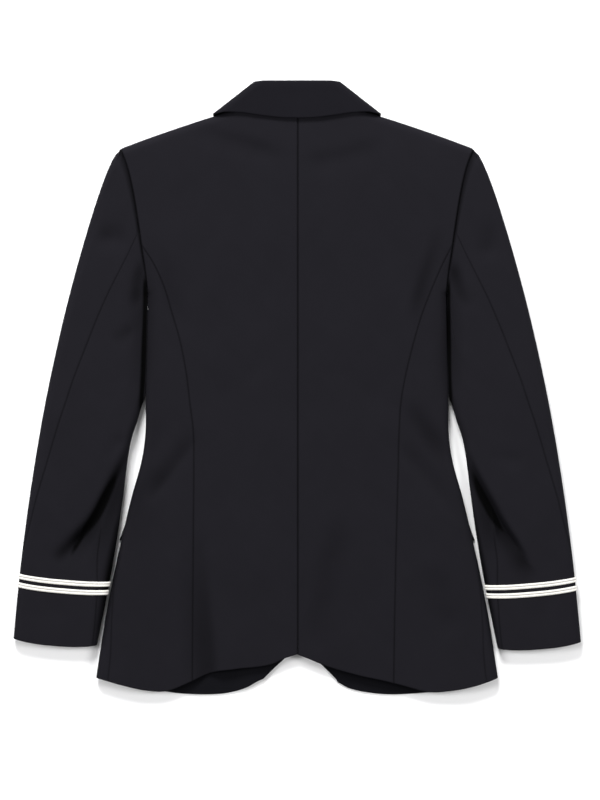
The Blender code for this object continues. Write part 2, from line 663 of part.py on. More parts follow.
def collar_path(shape, row, side, leaf):
    """Return half a collar row: across the back, round the slanted end, down the front."""
    turn_x, turn_y = [a + (b - a) * row.share for a, b in zip(shape.corner, shape.fold)]
    end_x, end_y = [a + (b - a) * row.share for a, b in zip(shape.front_low, shape.front_high)]
    x = eased(0.0, turn_x)
    dip = leaf(x * shape.corner[0] / turn_x) - shape.corner[1] if leaf else 0.0
    rise = smooth_step((turn_x - x) / FOLD_CORNER_WIDTH) * (shape.fold_y - shape.fold[1])
    y = turn_y + dip * (1 - row.share) + rise * row.share ** FOLD_CORNER_POWER
    u = np.clip((turn_x - x) / shape.reach_top, 0, 1)
    swell = np.sqrt(1 - (1 - u) ** 2)
    upper = np.column_stack((side * x, y, shape.middle + swell * (row.top - shape.middle)))
    t = eased(0.0, 1.0)
    run = np.hypot(end_x - turn_x, end_y - turn_y) * t
    u = np.clip(run / shape.reach_low, 0, 1)
    swell = np.sqrt(1 - (1 - u) ** 2)
    lower = np.column_stack((side * (turn_x + (end_x - turn_x) * t),
                             turn_y + (end_y - turn_y) * t,
                             shape.middle - swell * (shape.middle - row.low)))
    return upper, lower


def build_collar(name, shape, rows, leaf=None):
    """Build a collar band from one front end round the back of the neck to the other."""
    spots, heads = [], []
    for row in rows:
        upper_left, lower_left = collar_path(shape, row, LEFT, leaf)
        upper_right, lower_right = collar_path(shape, row, RIGHT, leaf)
        stretches = (spread(lower_left[::-1], shape.front_columns),
                     spread(np.concatenate((upper_left[::-1], upper_right[1:])),
                            shape.back_columns),
                     spread(lower_right, shape.front_columns))
        spots.append(np.concatenate([points[i > 0:] for i, (points, _) in enumerate(stretches)]))
        heads.append(np.concatenate([ways[i > 0:] for i, (_, ways) in enumerate(stretches)]))
    grid = np.array(spots)
    middle = shape.front_columns + shape.back_columns // 2
    inner = offset_grid(grid, np.array(heads), (1, middle, UPPER), -WALL)
    sheet_solid(name, grid, inner, INNER_CLOTH)


def flat_piece(name, grid, finish):
    """Build a piece that lies flat on the floor side, from its outline grid."""
    inner = grid + (0, 0, WALL)
    sheet_solid(name, grid, inner, finish)


def build_lapel(side):
    """Build a lapel, turned back along the roll line."""
    rows = []
    for v in np.linspace(0, 1, LAPEL_ROWS + 1):
        line = []
        for t in np.linspace(0, 1, LAPEL_COLUMNS + 1):
            start = LAPEL_START_Y[side]
            y = start + v * (LAPEL_TOP_Y - LAPEL_TIP_DROP * t - start)
            x = front_edge_x(y, side) + side * t * lapel_width(y)
            line.append((x, y, 0.0))
        rows.append(line)
    flat_piece("lapel_" + SIDE_NAMES[side], np.array(rows, float), INNER_CLOTH)


def build_flap(side):
    """Build a pocket flap, whose end stands just past the side edge."""
    rows = []
    for v in np.linspace(0, 1, FLAP_ROWS + 1):
        y = FLAP_TOP_Y - FLAP_DEPTH * v
        outer = float(body_edge(y)) + FLAP_PAST_EDGE
        across = np.linspace(FLAP_INNER, outer, FLAP_COLUMNS + 1)
        rows.append([(side * x, y, 0.0) for x in across])
    flat_piece("pocket_flap_" + SIDE_NAMES[side], np.array(rows, float), CLOTH)


def build_button(name, y):
    """Build a button that lies face down under the front it is sewn to."""
    mesh = bmesh.new()
    bmesh.ops.create_cone(mesh, cap_ends=True, segments=BUTTON_SIDES, radius1=BUTTON_RADIUS * MM,
                          radius2=BUTTON_RADIUS * MM, depth=BUTTON_THICKNESS * MM)
    rims = [edge for edge in mesh.edges
            if all(abs(face.normal.z) < 0.5 or len(face.verts) > 4 for face in edge.link_faces)
            and abs(edge.verts[0].co.z - edge.verts[1].co.z) < 1e-6]
    bmesh.ops.bevel(mesh, geom=rims, offset=BUTTON_EDGE * MM, segments=1, affect="EDGES")
    place = np.array((CENTRE_FRONT_X, y, BUTTON_THICKNESS / 2)) * MM
    bmesh.ops.translate(mesh, verts=mesh.verts[:], vec=place)
    bmesh.ops.triangulate(mesh, faces=mesh.faces[:])
    add_object("button_" + name, mesh, BUTTON)


def clear_scene():
    """Remove everything that the file opened with."""
    for thing in list(bpy.data.objects):
        bpy.data.objects.remove(thing, do_unlink=True)


def main():
    """Build the whole blazer."""
    clear_scene()
    for side in SIDE_NAMES:
        back = build_back(side)
        side_back = build_side_back(side)
        front = build_front(side)
        under, top = build_sleeve(side, back, side_back, front)
        build_braids(side, under, top)
        build_lapel(side)
        build_flap(side)
    build_collar("collar_fall", FALL, FALL_ROWS, leaf_edge)
    build_collar("collar_stand", STAND, STAND_ROWS)
    for name, height in BUTTON_HEIGHTS.items():
        build_button(name, height)


main()
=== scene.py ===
import logging
import math
from dataclasses import dataclass
from enum import Enum
from typing import Callable, NamedTuple, Sequence

import bmesh
import bpy
import numpy as np
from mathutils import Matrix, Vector


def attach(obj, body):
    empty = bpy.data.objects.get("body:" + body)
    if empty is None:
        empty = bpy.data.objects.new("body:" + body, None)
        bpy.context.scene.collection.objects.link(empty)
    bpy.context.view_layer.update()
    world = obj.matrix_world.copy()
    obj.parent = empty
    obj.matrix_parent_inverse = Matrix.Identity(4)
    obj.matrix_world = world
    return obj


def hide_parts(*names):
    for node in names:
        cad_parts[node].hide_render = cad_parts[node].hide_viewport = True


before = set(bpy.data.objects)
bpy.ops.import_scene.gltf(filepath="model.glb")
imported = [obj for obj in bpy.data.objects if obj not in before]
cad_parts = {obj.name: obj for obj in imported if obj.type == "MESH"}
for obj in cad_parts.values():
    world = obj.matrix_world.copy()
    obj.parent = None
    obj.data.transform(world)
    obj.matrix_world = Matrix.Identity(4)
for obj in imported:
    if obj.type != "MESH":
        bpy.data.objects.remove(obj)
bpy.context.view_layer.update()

LOG = logging.getLogger("blazer")
MM = 0.001
Array = np.ndarray
Colour = tuple[float, float, float]
Socket = bpy.types.NodeSocket


class Side(Enum):
    """The wearer's left lies at -X and the right at +X."""

    LEFT = -1
    RIGHT = 1

    @property
    def word(self) -> str:
        """Return the side's name as pieces use it."""
        return self.name.lower()


class Layer(Enum):
    """The back is the upper layer, the fronts are the lower one."""

    UPPER = 1
    LOWER = -1


class End(Enum):
    """The four ends of a panel's rows and columns of points."""

    FIRST_COLUMN = "first column"
    LAST_COLUMN = "last column"
    FIRST_ROW = "first row"
    LAST_ROW = "last row"


class Row(NamedTuple):
    """One row of a size table."""

    at: float
    value: float


class PairRow(NamedTuple):
    """One row of a size table with a value for each side."""

    at: float
    left: float
    right: float


class Lift(NamedTuple):
    """A piece on the floor side that lifts the fronts."""

    x: float
    y: float
    half_x: float
    half_y: float
    height: float
    ramp: float


class Crease(NamedTuple):
    """A soft trough, or a ridge where the depth is negative, along points in millimetres.

    The column after the widths is painted shade: the share of the cloth's colour darkened in a
    tight fold, where shade falls. The ease is the share of the length over which each end fades.
    """

    points: tuple[tuple[float, float], ...]
    depth: float
    width_left: float
    width_right: float
    painted_shade: float = 0.0
    ease: float = 0.38


def table(kind: Callable, *rows: tuple) -> list:
    """Return a table's rows with their columns named."""
    return [kind(*row) for row in rows]


# Driving sizes, in millimetres.
WALL = 2.0
SEAM_GAP = 0.08
LEAST_HOLLOW = 4.6
FOLD_REACH = 9.0
CENTRE_BACK_X = 1.0
CENTRE_FRONT_X = 3.0
TIP_Y = 281.2
TIP_HALF_WIDTH = 207.7
UNDERARM_Y = 108.0
PRINCESS_TOP_Y = 168.0
HIND_ARM_TOP_Y = 190.0
FOREARM_TOP_Y = 117.2
SIDE_HEM_Y = -342.0
LOWEST_Y = -345.0
CUFF_Y = -302.0
NECK_HALF_WIDTH = 77.0
HEM_BLEND_Y = -140.0
SIDE_SEAM_WRAP = 18.0
SIDE_SEAM_WRAP_Y = -165.0
SLEEVE_BLEND = 50.0

# Shares, steps and tolerances of the work.
LOWER_SWELL = -0.6
TINY = 1e-6
MEET_START = 180.0
MEET_PASSES = 14
SHOULDER_STEPS = 60
OUTLINE_STEPS = 160
EDGE_STEPS = 300

BODY_EDGE = table(
    Row,
    (-345, 237.2), (-268, 225.2), (-198, 211.1), (-127, 194.5), (-92, 184.7), (-72, 180.8),
    (-45, 178.4), (-20, 178.6), (40, 177.0), (108, 175.8))
SLEEVE_OUTER = table(
    Row,
    (-302, 335.0), (-233, 328.3), (-162, 319.7), (-92, 309.5), (-20, 297.0), (50, 282.3),
    (121, 265.2), (192, 245.5), (245, 228.3), (262, 221.3), (276, 213.8), (281.2, 208.2))
SLEEVE_INNER = table(
    Row,
    (-310, 237.0), (-233, 221.5), (-180, 212.2), (-127, 204.6), (-76, 198.0), (-58, 194.2),
    (-40, 188.2), (-20, 182.2), (-13, 179.2), (-2, 178.0), (40, 176.4), (80, 175.4),
    (108, 175.3))
ARMHOLE = table(
    Row,
    (108, 175.8), (140, 179.4), (166, 183.0), (198, 187.6), (233, 193.5), (259, 199.6),
    (TIP_Y, TIP_HALF_WIDTH))
SHOULDER_LINE = table(
    Row,
    (0, 326.0), (50, 326.6), (77, 326.6), (97, 319.6), (112, 314.9), (145, 303.9),
    (179, 292.0), (TIP_HALF_WIDTH, TIP_Y))
PRINCESS = table(
    PairRow,
    (-345, 123.2, 114.0), (-250, 122.6, 115.5), (-156, 122.0, 117.6), (-97, 121.5, 119.2),
    (-50, 122.3, 120.4), (-17, 126.3, 122.5), (14, 130.0, 128.0), (55, 137.8, 138.0),
    (88, 147.3, 147.8), (118, 156.3, 159.5), (145, 168.5, 171.5), (168, 183.2, 183.2))
SIDE_HEM = table(
    PairRow,
    (178, -357.0, -358.0), (206, -351.0, -353.0), (225, -345.5, -347.0),
    (238, -342.0, -342.0))
BACK_HEM = table(
    PairRow,
    (0, -314.5, -314.5), (14, -319.0, -320.0), (30, -326.0, -326.5), (74, -332.0, -339.5),
    (102, -336.5, -345.5), (128, -348.0, -352.0), (155, -358.0, -359.0)) + SIDE_HEM
FRONT_HEM = table(
    PairRow,
    (0, -344.0, -344.0), (40, -344.0, -344.0), (61, -354.6, -354.6), (84, -360.5, -359.8),
    (110, -362.0, -362.0), (140, -360.6, -360.8), (155, -358.6, -359.6)) + SIDE_HEM
FRONT_REACH = table(
    Row,
    (-345, -44.0), (-330, -29.0), (-319, -17.0), (-300, -3.0), (-270, 9.0), (-230, 17.0),
    (-150, 22.0), (-40, 22.0), (60, 1.0), (330, -60.0))
HIND_ARM = table(
    Row,
    (-400, 345.0), (-186, 320.8), (-156, 313.2), (-133, 307.4), (-109, 300.4), (-86, 293.5),
    (-62, 286.5), (-38, 279.0), (-15, 271.3), (9, 263.3), (56, 245.3), (115, 222.8),
    (160, 203.4), (196, 187.6))
FOREARM_INSET = table(Row, (0, 8.0), (60, 15.0), (110, 23.0), (300, 23.0), (415, 12.0))
BODY_TOP = table(
    Row,
    (-362, 11.0), (-200, 12.0), (-40, 13.5), (100, 16.5), (200, 19.5), (270, 21.5),
    (362, 20.0))
SLEEVE_TOP = table(
    Row,
    (-310, 14.0), (-150, 17.0), (0, 18.0), (108, 18.5), (200, 21.0), (281, 22.0))
LEAF_EDGE = table(
    Row,
    (0, 316.8), (20, 317.4), (44, 320.2), (67, 323.4), (88, 323.8), (99.4, 322.0))
LAPEL_WIDTH = table(Row, (-34, 4), (20, 24), (100, 46), (200, 60), (245, 65))
LIFTS = table(
    Lift,
    (0, 160, 150, 215, 2.4, 30.0),
    (3, -38, 55, 55, 4.6, 50.0),
    (3, -135, 55, 55, 4.6, 50.0),
    (-152, -160, 90, 48, 2.4, 30.0),
    (152, -160, 90, 48, 2.4, 30.0),
    (-276, -229, 75, 24, 1.5, 26.0),
    (276, -232, 75, 24, 1.5, 26.0))

# The main creases of the side that shows, each laid one by one.
# The column after the widths paints shade into the cloth's colour along each trough; rows of depth
# 0 are painted shade alone.
ELBOW_CREASES = table(
    Crease,
    (((-188, -58), (-200, -86), (-211, -110), (-223, -134), (-236, -157), (-249, -174),
      (-264, -195), (-280, -212)), 7.5, 15.0, 8.0, 0.45, 0.3),
    (((-198, -74), (-205, -88), (-214, -105), (-226, -130), (-238, -153), (-249, -168),
      (-259, -183), (-271, -206)), 1.5, 5.4, 5.0, 1.9, 0.42),
    (((-236, -150), (-248, -168), (-259, -185), (-270, -204)), 0.6, 3.2, 3.0, 1.1, 0.3),
    (((-240, -158), (-256, -175), (-272, -190), (-288, -208)), 2.6, 7.0, 7.0, 0.75, 0.34),
    (((-190, -62), (-208, -110), (-226, -160), (-250, -220)), 0.0, 24.0, 7.0, 0.5, 0.38),
    (((-196, -56), (-210, -66), (-226, -92)), 1.2, 7.0, 9.0),
    (((198, -72), (208, -99), (219, -121), (230, -141), (239, -158), (250, -175),
      (262, -193), (276, -216)), 8.0, 4.5, 15.0, 0.5, 0.25),
    (((198, -76), (207, -99), (217, -121), (228, -142), (237, -159), (247, -176),
      (258, -194)), 1.5, 2.6, 6.4, 1.9, 0.45),
    (((226, -138), (240, -162), (256, -186), (274, -212), (286, -222)), 1.5, 2.6, 15.0,
     0.66, 0.3),
    (((197, -72), (212, -120), (230, -168), (250, -216)), 0.0, 5.0, 24.0, 0.36, 0.38),
    (((228, -136), (232, -158), (236, -182)), -1.8, 2.6, 2.6, 0.0, 0.38),
    (((222, -82), (246, -84), (272, -92)), 1.2, 9.0, 9.0))
BODY_CREASES = table(
    Crease,
    (((-117, -160), (-111, -250), (-104, -335), (-99, -430)), 4.8, 9.0, 18.0, 0.3),
    (((-112, -48), (-142, -88), (-182, -142)), 2.2, 6.0, 13.0, 0.3),
    (((-148, -26), (-163, -60), (-180, -100)), 1.5, 13.0, 13.0, 0.0),
    (((112, -52), (152, -104), (196, -164)), 2.0, 14.0, 9.0, 0.1),
    (((122, -8), (152, -52), (182, -100)), 2.2, 13.0, 10.0, 0.25),
    (((158, -206), (170, -252), (186, -300)), 2.0, 16.0, 16.0, 0.1),
    (((56, -136), (40, -215), (18, -320)), 2.6, 18.0, 15.0, 0.15),
    (((-136, 308), (-70, 288), (6, 264)), 2.2, 9.0, 13.0, 0.1),
    (((-6, 264), (50, 270), (108, 290)), 2.0, 10.0, 13.0, 0.1),
    (((-66, -100), (-52, -190), (-42, -280)), -1.6, 16.0, 18.0, 0.0),
    (((-20, 50), (-60, 10), (-104, -28)), 1.2, 15.0, 18.0, 0.0),
    (((24, 38), (66, 4), (108, -38)), 1.2, 18.0, 15.0, 0.0),
    (((-178, 196), (-180, 96), (-178, -72)), 3.6, 13.0, 13.0, 0.22),
    (((178, 196), (180, 96), (178, -72)), 3.6, 13.0, 13.0, 0.22))
CAP_CREASES = table(
    Crease,
    (((-240, 172), (-216, 184), (-196, 174)), 2.2, 10.0, 10.0, 0.15),
    (((228, 202), (228, 176), (222, 150)), 2.2, 9.0, 11.0, 0.1),
    (((172, 198), (158, 150), (144, 104), (138, 56)), 2.0, 9.0, 8.0, 0.25),
    (((-160, 180), (-156, 134), (-140, 84), (-120, 60)), 1.2, 12.0, 9.0, 0.1),
    (((181, 160), (186, 130), (194, 108), (206, 92)), 1.8, 8.0, 8.0, 0.4),
    (((-181, 156), (-185, 130), (-188, 108), (-186, 84)), 1.8, 7.0, 7.0, 0.4),
    (((-190, 78), (-204, 62), (-222, 56)), 1.2, 8.0, 8.0, 0.2),
    (((-262, 52), (-272, -6), (-286, -74)), -1.2, 12.0, 14.0, 0.0),
    (((262, 52), (272, -6), (286, -74)), -1.2, 14.0, 12.0, 0.0))
CUFF_CREASES = table(
    Crease,
    (((-300, -226), (-296, -250), (-288, -285)), 0.9, 12.0, 14.0),
    (((300, -226), (297, -252), (290, -288)), 0.9, 14.0, 12.0),
    (((-204, -130), (-213, -184), (-223, -240), (-236, -318)), 0.0, 6.0, 7.5, 0.95, 0.2),
    (((204, -130), (213, -184), (223, -240), (236, -318)), 0.0, 4.5, 4.5, 0.85, 0.2))
# The shade of the armhole seams and of the narrow gaps between sleeves and body.
GAP_SHADES = [Crease(tuple((side.value * row.value, row.at) for row in ARMHOLE),
                     0.0, 0.8, 0.8, 0.6, 0.5) for side in Side] + table(
    Crease,
    (((-179.5, 140), (-178.2, 120), (-178.2, 96), (-179.2, 50), (-180.6, 10), (-184.5, -40)),
     1.0, 1.6, 3.4, 1.9, 0.16),
    (((179.5, 140), (178.2, 120), (178.2, 96), (178.8, 50), (179.6, 10), (182.5, -40)),
     1.0, 2.4, 1.6, 1.7, 0.16))
# Creases of the hidden side, on the fronts and the sleeves' floor side.
LOWER_CREASES = table(
    Crease,
    (((-199, -74), (-232, -132), (-268, -190)), -1.6, 12.0, 12.0),
    (((204, -90), (230, -140), (268, -201)), -1.6, 12.0, 12.0),
    (((-120, -60), (-150, -95), (-176, -128)), -0.9, 12.0, 14.0),
    (((118, -70), (150, -110), (180, -150)), -0.9, 14.0, 12.0),
    (((-96, 190), (-84, 120), (-88, 40)), -0.8, 14.0, 16.0),
    (((96, 190), (84, 120), (88, 40)), -0.8, 16.0, 14.0))
UPPER_CREASES = ELBOW_CREASES + BODY_CREASES + CAP_CREASES + CUFF_CREASES + GAP_SHADES


class Curve:
    """A smooth function through a table's rows."""

    def __init__(self, rows: Sequence[NamedTuple], column: str = "value") -> None:
        """Read one column of a table.

        Args:
            rows: The table, each row with the place `at`.
            column: The name of the column that is read.
        """
        ordered = sorted(rows)
        self.xs = np.array([row.at for row in ordered], float)
        self.ys = np.array([getattr(row, column) for row in ordered], float)
        slopes = np.diff(self.ys) / np.diff(self.xs)
        middle = (slopes[1:] + slopes[:-1]) / 2
        self.tangents = np.concatenate(([slopes[0]], middle, [slopes[-1]]))

    def __call__(self, x: Array | float) -> Array:
        """Return the curve's value at x, which is held within the table.

        Args:
            x: Places in the table.

        Returns:
            The values there.
        """
        x = np.clip(np.asarray(x, float), self.xs[0], self.xs[-1])
        i = np.clip(np.searchsorted(self.xs, x) - 1, 0, len(self.xs) - 2)
        h = self.xs[i + 1] - self.xs[i]
        t = (x - self.xs[i]) / h
        return (self.ys[i] * (1 + 2 * t) * (1 - t) ** 2
                + self.tangents[i] * h * t * (1 - t) ** 2
                + self.ys[i + 1] * t * t * (3 - 2 * t)
                + self.tangents[i + 1] * h * t * t * (t - 1))


def smooth_step(t: Array | float) -> Array:
    """Ease from 0 to 1 as t goes from 0 to 1."""
    t = np.clip(t, 0, 1)
    return t * t * (3 - 2 * t)


def unit(vectors: Array) -> Array:
    """Return vectors of length one."""
    return vectors / np.maximum(np.linalg.norm(vectors, axis=-1, keepdims=True), 1e-12)


def eased(start: float, end: float, count: int = EDGE_STEPS) -> Array:
    """Return values from start to end, closer together at both ends."""
    t = (1 - np.cos(np.linspace(0, np.pi, count))) / 2
    return start + (end - start) * t


def along(points: Array) -> Array:
    """Return the length along a path at each of its points."""
    return np.concatenate(([0], np.cumsum(np.linalg.norm(np.diff(points, axis=0), axis=1))))


def sample(points: Array, marks: Array, places: Array) -> Array:
    """Return a path's points at places on the scale of its marks."""
    return np.column_stack([np.interp(places, marks, column) for column in points.T])


def cut_path(points: Array, start: float, end: float) -> Array:
    """Return the stretch of a path between two lengths along it.

    Args:
        points: The path's points.
        start: Length at which it starts.
        end: Length at which it ends.

    Returns:
        The stretch's points.
    """
    lengths = along(points)
    inside = (lengths > start + TINY) & (lengths < end - TINY)
    return sample(points, lengths, np.concatenate(([start], lengths[inside], [end])))


def rounded(distance: Array, reach: float) -> Array:
    """Return a quarter round: 0 at its edge and 1 from its reach on."""
    u = np.clip(distance / reach, 0, 1)
    return np.sqrt(np.maximum(1 - (1 - u) ** 2, 0))


def distance_to_line(x: Array, y: Array, line: Array) -> Array:
    """Return the distance from each point to a polyline.

    Args:
        x: Places across the garment.
        y: Places along it.
        line: The polyline's points.

    Returns:
        The distances.
    """
    x = np.asarray(x, float)[..., None]
    y = np.asarray(y, float)[..., None]
    ax, ay = line[:-1, 0], line[:-1, 1]
    dx, dy = np.diff(line[:, 0]), np.diff(line[:, 1])
    t = np.clip(((x - ax) * dx + (y - ay) * dy) / (dx * dx + dy * dy), 0, 1)
    return np.sqrt((x - ax - t * dx) ** 2 + (y - ay - t * dy) ** 2).min(axis=-1)


def soft_line(points: Sequence[tuple[float, float]], steps: int = 18) -> Array:
    """Return a smooth polyline through a few points.

    Args:
        points: The line's knots.
        steps: The number of points.

    Returns:
        The polyline's points.
    """
    knots = np.array(points, float)
    places = along(np.column_stack((knots, np.zeros(len(knots)))))
    fine = np.linspace(0, places[-1], steps)
    rows = [[Row(p, v) for p, v in zip(places, knots[:, i])] for i in (0, 1)]
    return np.column_stack([Curve(r)(fine) for r in rows])


class Trough:
    """A crease ready to be read at many points."""

    REACH = 3.0
    SWELL = 0.18
    SWELL_PACE = 9.0

    def __init__(self, crease: Crease) -> None:
        """Lay a crease's line once.

        Args:
            crease: The crease.
        """
        self.crease = crease
        self.line = soft_line(crease.points)
        widest = self.REACH * max(crease.width_left, crease.width_right)
        self.low = self.line.min(axis=0) - widest
        self.high = self.line.max(axis=0) + widest

    def strength(self, x: Array, y: Array) -> Array:
        """Return how strong the crease is at each point.

        Args:
            x: Places across the garment.
            y: Places along the garment.

        Returns:
            A share near 1 on the line, which fades aside and at both ends and swells
            unevenly between them.
        """
        found = np.zeros(x.shape)
        near = ((x > self.low[0]) & (x < self.high[0]) & (y > self.low[1]) & (y < self.high[1]))
        if not near.any():
            return found
        px, py = x[near][:, None], y[near][:, None]
        ax, ay = self.line[:-1, 0], self.line[:-1, 1]
        dx, dy = np.diff(self.line[:, 0]), np.diff(self.line[:, 1])
        lengths = np.hypot(dx, dy)
        t = ((px - ax) * dx + (py - ay) * dy) / (lengths * lengths)
        held = np.clip(t, 0, 1)
        gaps = np.hypot(px - ax - held * dx, py - ay - held * dy)
        best = gaps.argmin(axis=1)
        pick = np.arange(len(best)), best
        cross = dx[best] * (py[:, 0] - ay[best]) - dy[best] * (px[:, 0] - ax[best])
        width = np.where(cross > 0, self.crease.width_left, self.crease.width_right)
        share = (best + held[pick]) / len(lengths)
        ease = self.crease.ease
        fade = smooth_step(share / ease) * smooth_step((1 - share) / ease)
        swell = 1 + self.SWELL * np.sin(self.SWELL_PACE * share + self.crease.points[0][0])
        found[near] = np.exp(-(gaps[pick] / width) ** 2) * fade * swell
        return found


class Unevenness:
    """Slow, slight unevenness of laid cloth, as a sum of long waves."""

    def __init__(self, seed: int, height: float, lengths: tuple[float, float], waves: int) -> None:
        """Draw the waves.

        Args:
            seed: Seed of the waves' directions and lengths.
            height: Greatest height of the sum.
            lengths: Shortest and longest wave.
            waves: Number of waves.
        """
        draw = np.random.default_rng(seed)
        ways = draw.uniform(0, 2 * np.pi, waves)
        pace = 2 * np.pi / draw.uniform(*lengths, waves)
        self.kx, self.ky = np.cos(ways) * pace, np.sin(ways) * pace
        self.start = draw.uniform(0, 2 * np.pi, waves)
        self.height = height / math.sqrt(waves)

    def __call__(self, x: Array, y: Array) -> Array:
        """Return the height at each point.

        Args:
            x: Places across the garment.
            y: Places along it.

        Returns:
            The heights.
        """
        total = np.zeros(np.shape(x))
        for kx, ky, start in zip(self.kx, self.ky, self.start):
            total = total + np.sin(kx * x + ky * y + start)
        return total * self.height


class LaidForm:
    """The laid garment as two height fields that meet in a rounded fold at the outline."""

    def __init__(self) -> None:
        """Read the tables and lay the creases."""
        self.body_edge = Curve(BODY_EDGE)
        self.sleeve_outer = Curve(SLEEVE_OUTER)
        self.sleeve_inner = Curve(SLEEVE_INNER)
        self.armhole = Curve(ARMHOLE)
        self.shoulder_line = Curve(SHOULDER_LINE)
        self.front_reach = Curve(FRONT_REACH)
        self.body_top = Curve(BODY_TOP)
        self.sleeve_top = Curve(SLEEVE_TOP)
        self.princess = {side: Curve(PRINCESS, side.word) for side in Side}
        self.back_hem = {side: Curve(BACK_HEM, side.word) for side in Side}
        self.front_hem = {side: Curve(FRONT_HEM, side.word) for side in Side}
        across = np.linspace(NECK_HALF_WIDTH, TIP_HALF_WIDTH, SHOULDER_STEPS)
        down = np.linspace(TIP_Y, CUFF_Y, OUTLINE_STEPS)[1:]
        low = np.linspace(UNDERARM_Y, LOWEST_Y, OUTLINE_STEPS)
        self.outer_line = np.concatenate((
            np.column_stack((across, self.shoulder_line(across))),
            np.column_stack((self.sleeve_outer(down), down))))
        self.body_line = np.column_stack((self.body_edge(low), low))
        self.inner_line = np.column_stack((self.sleeve_inner(low), low))
        self.troughs = {Layer.UPPER: [Trough(c) for c in UPPER_CREASES],
                        Layer.LOWER: [Trough(c) for c in LOWER_CREASES]}
        self.slow = Unevenness(seed=5, height=0.42, lengths=(70.0, 190.0), waves=9)
        self.quick = Unevenness(seed=11, height=0.10, lengths=(16.0, 40.0), waves=12)

    def press(self, x: Array, y: Array, layer: Layer) -> Array:
        """Return how deep creases and unevenness press one layer.

        Args:
            x: Places across the garment.
            y: Places along it.
            layer: The layer.

        Returns:
            The depths.
        """
        depth = self.slow(x, y) + self.quick(x, y)
        if layer is Layer.LOWER:
            depth = np.abs(depth) * LOWER_SWELL
        for trough in self.troughs[layer]:
            depth = depth + trough.crease.depth * trough.strength(x, y)
        return depth

    def painted_shade(self, points: Array) -> Array:
        """Return the share of colour darkened as painted shade in tight folds, at points of the
        side that shows.

        Args:
            points: Points of the cloth.

        Returns:
            Shares from 0 to 1.
        """
        x, y = points[..., 0], points[..., 1]
        lost = np.zeros(x.shape)
        for trough in self.troughs[Layer.UPPER]:
            if trough.crease.painted_shade:
                lost = np.maximum(lost, trough.crease.painted_shade * trough.strength(x, y))
        return np.clip(lost, 0, 1)

    @staticmethod
    def lifted(x: Array, y: Array) -> Array:
        """Return how far pieces on the floor side lift the lower layer.

        Args:
            x: Places across the garment.
            y: Places along it.

        Returns:
            The heights.
        """
        height = np.zeros(x.shape)
        for lift in LIFTS:
            dx = np.maximum(np.abs(x - lift.x) - lift.half_x, 0)
            dy = np.maximum(np.abs(y - lift.y) - lift.half_y, 0)
            share = smooth_step(1 - np.hypot(dx, dy) / lift.ramp)
            height = np.maximum(height, lift.height * share)
        return height

    def surface_z(self, x: Array, y: Array, layer: Layer, sleeve: bool = False) -> Array:
        """Return the outer height of one layer.

        Args:
            x: Places across the garment.
            y: Places along it.
            layer: The layer that is read.
            sleeve: True for the sleeve's own inner edge, false for the body's edge.

        Returns:
            Heights above the floor.
        """
        x, y = np.asarray(x, float), np.asarray(y, float)
        away = np.abs(x)
        past_armhole = away - self.armhole(np.maximum(y, UNDERARM_Y))
        blend = smooth_step(past_armhole / SLEEVE_BLEND + 0.5)
        top = self.body_top(y) * (1 - blend) + self.sleeve_top(y) * blend
        low = self.lifted(x, y)
        middle = (top + low) / 2
        if layer is Layer.UPPER:
            top = np.maximum(top - self.press(x, y, layer), low + LEAST_HOLLOW)
        else:
            low = np.maximum(low - self.press(x, y, layer), 0.0)
        inner_line = self.inner_line if sleeve else self.body_line
        share = (rounded(distance_to_line(away, y, self.outer_line), FOLD_REACH)
                 * rounded(distance_to_line(away, y, inner_line), FOLD_REACH))
        full = top if layer is Layer.UPPER else low
        return middle + share * (full - middle)

    def row_y(self, level: float, x: Array | float, side: Side, layer: Layer) -> Array:
        """Return a body row's y: it turns to the shoulder above and the hem below.

        Args:
            level: The row's level at the side edge.
            x: Places across the garment.
            side: The wearer's side.
            layer: The layer.

        Returns:
            The row's y at every x.
        """
        away = np.abs(x)
        hem = (self.back_hem if layer is Layer.UPPER else self.front_hem)[side](away)
        up = np.clip((level - UNDERARM_Y) / (TIP_Y - UNDERARM_Y), 0, 1)
        down = np.clip((HEM_BLEND_Y - level) / (HEM_BLEND_Y - SIDE_HEM_Y), 0, 1)
        return level + up * (self.shoulder_line(away) - TIP_Y) + down * (hem - SIDE_HEM_Y)

    def meet(self, level: float, side: Side, layer: Layer, seam: Callable) -> float:
        """Return the distance from the middle where a row meets a seam.

        Args:
            level: The row's level at the side edge.
            side: The wearer's side.
            layer: The layer.
            seam: The seam's distance from the middle, as a function of y.

        Returns:
            The distance.
        """
        away = MEET_START
        for _ in range(MEET_PASSES):
            away = float(seam(self.row_y(level, away, side, layer)))
        return away

    def front_edge_x(self, y: Array | float, side: Side) -> Array:
        """Return the x of a front's closing edge."""
        return CENTRE_FRONT_X - side.value * self.front_reach(y)

    def half_row(self, level: float, side: Side, layer: Layer) -> Array:
        """Return one layer of a body row from the middle to the armhole or the side edge.

        Args:
            level: The row's level at the side edge.
            side: The wearer's side.
            layer: The layer.

        Returns:
            The row's points.
        """
        limit = self.armhole if level >= UNDERARM_Y else self.body_edge
        away = self.meet(level, side, layer, limit)
        start = CENTRE_BACK_X
        if layer is Layer.LOWER:
            start = float(self.front_edge_x(level, side))
            for _ in range(MEET_PASSES):
                start = float(self.front_edge_x(self.row_y(level, start, side, layer), side))
        xs = eased(start, side.value * away)
        ys = self.row_y(level, xs, side, layer)
        path = np.column_stack((xs, ys, self.surface_z(xs, ys, layer)))
        if level >= TIP_Y:
            path[:, 2] += layer.value * SEAM_GAP / 2
        return path


FORM = LaidForm()


class Sheet(NamedTuple):
    """A panel's points: its outer face, its inner face and its places in the flat cut.

    Its shade and the field after it are painted shade, darkening its colour at the seams and in
    tight folds.
    """

    outer: Array
    inner: Array
    flat: Array
    shade: Array
    painted_shade: Array


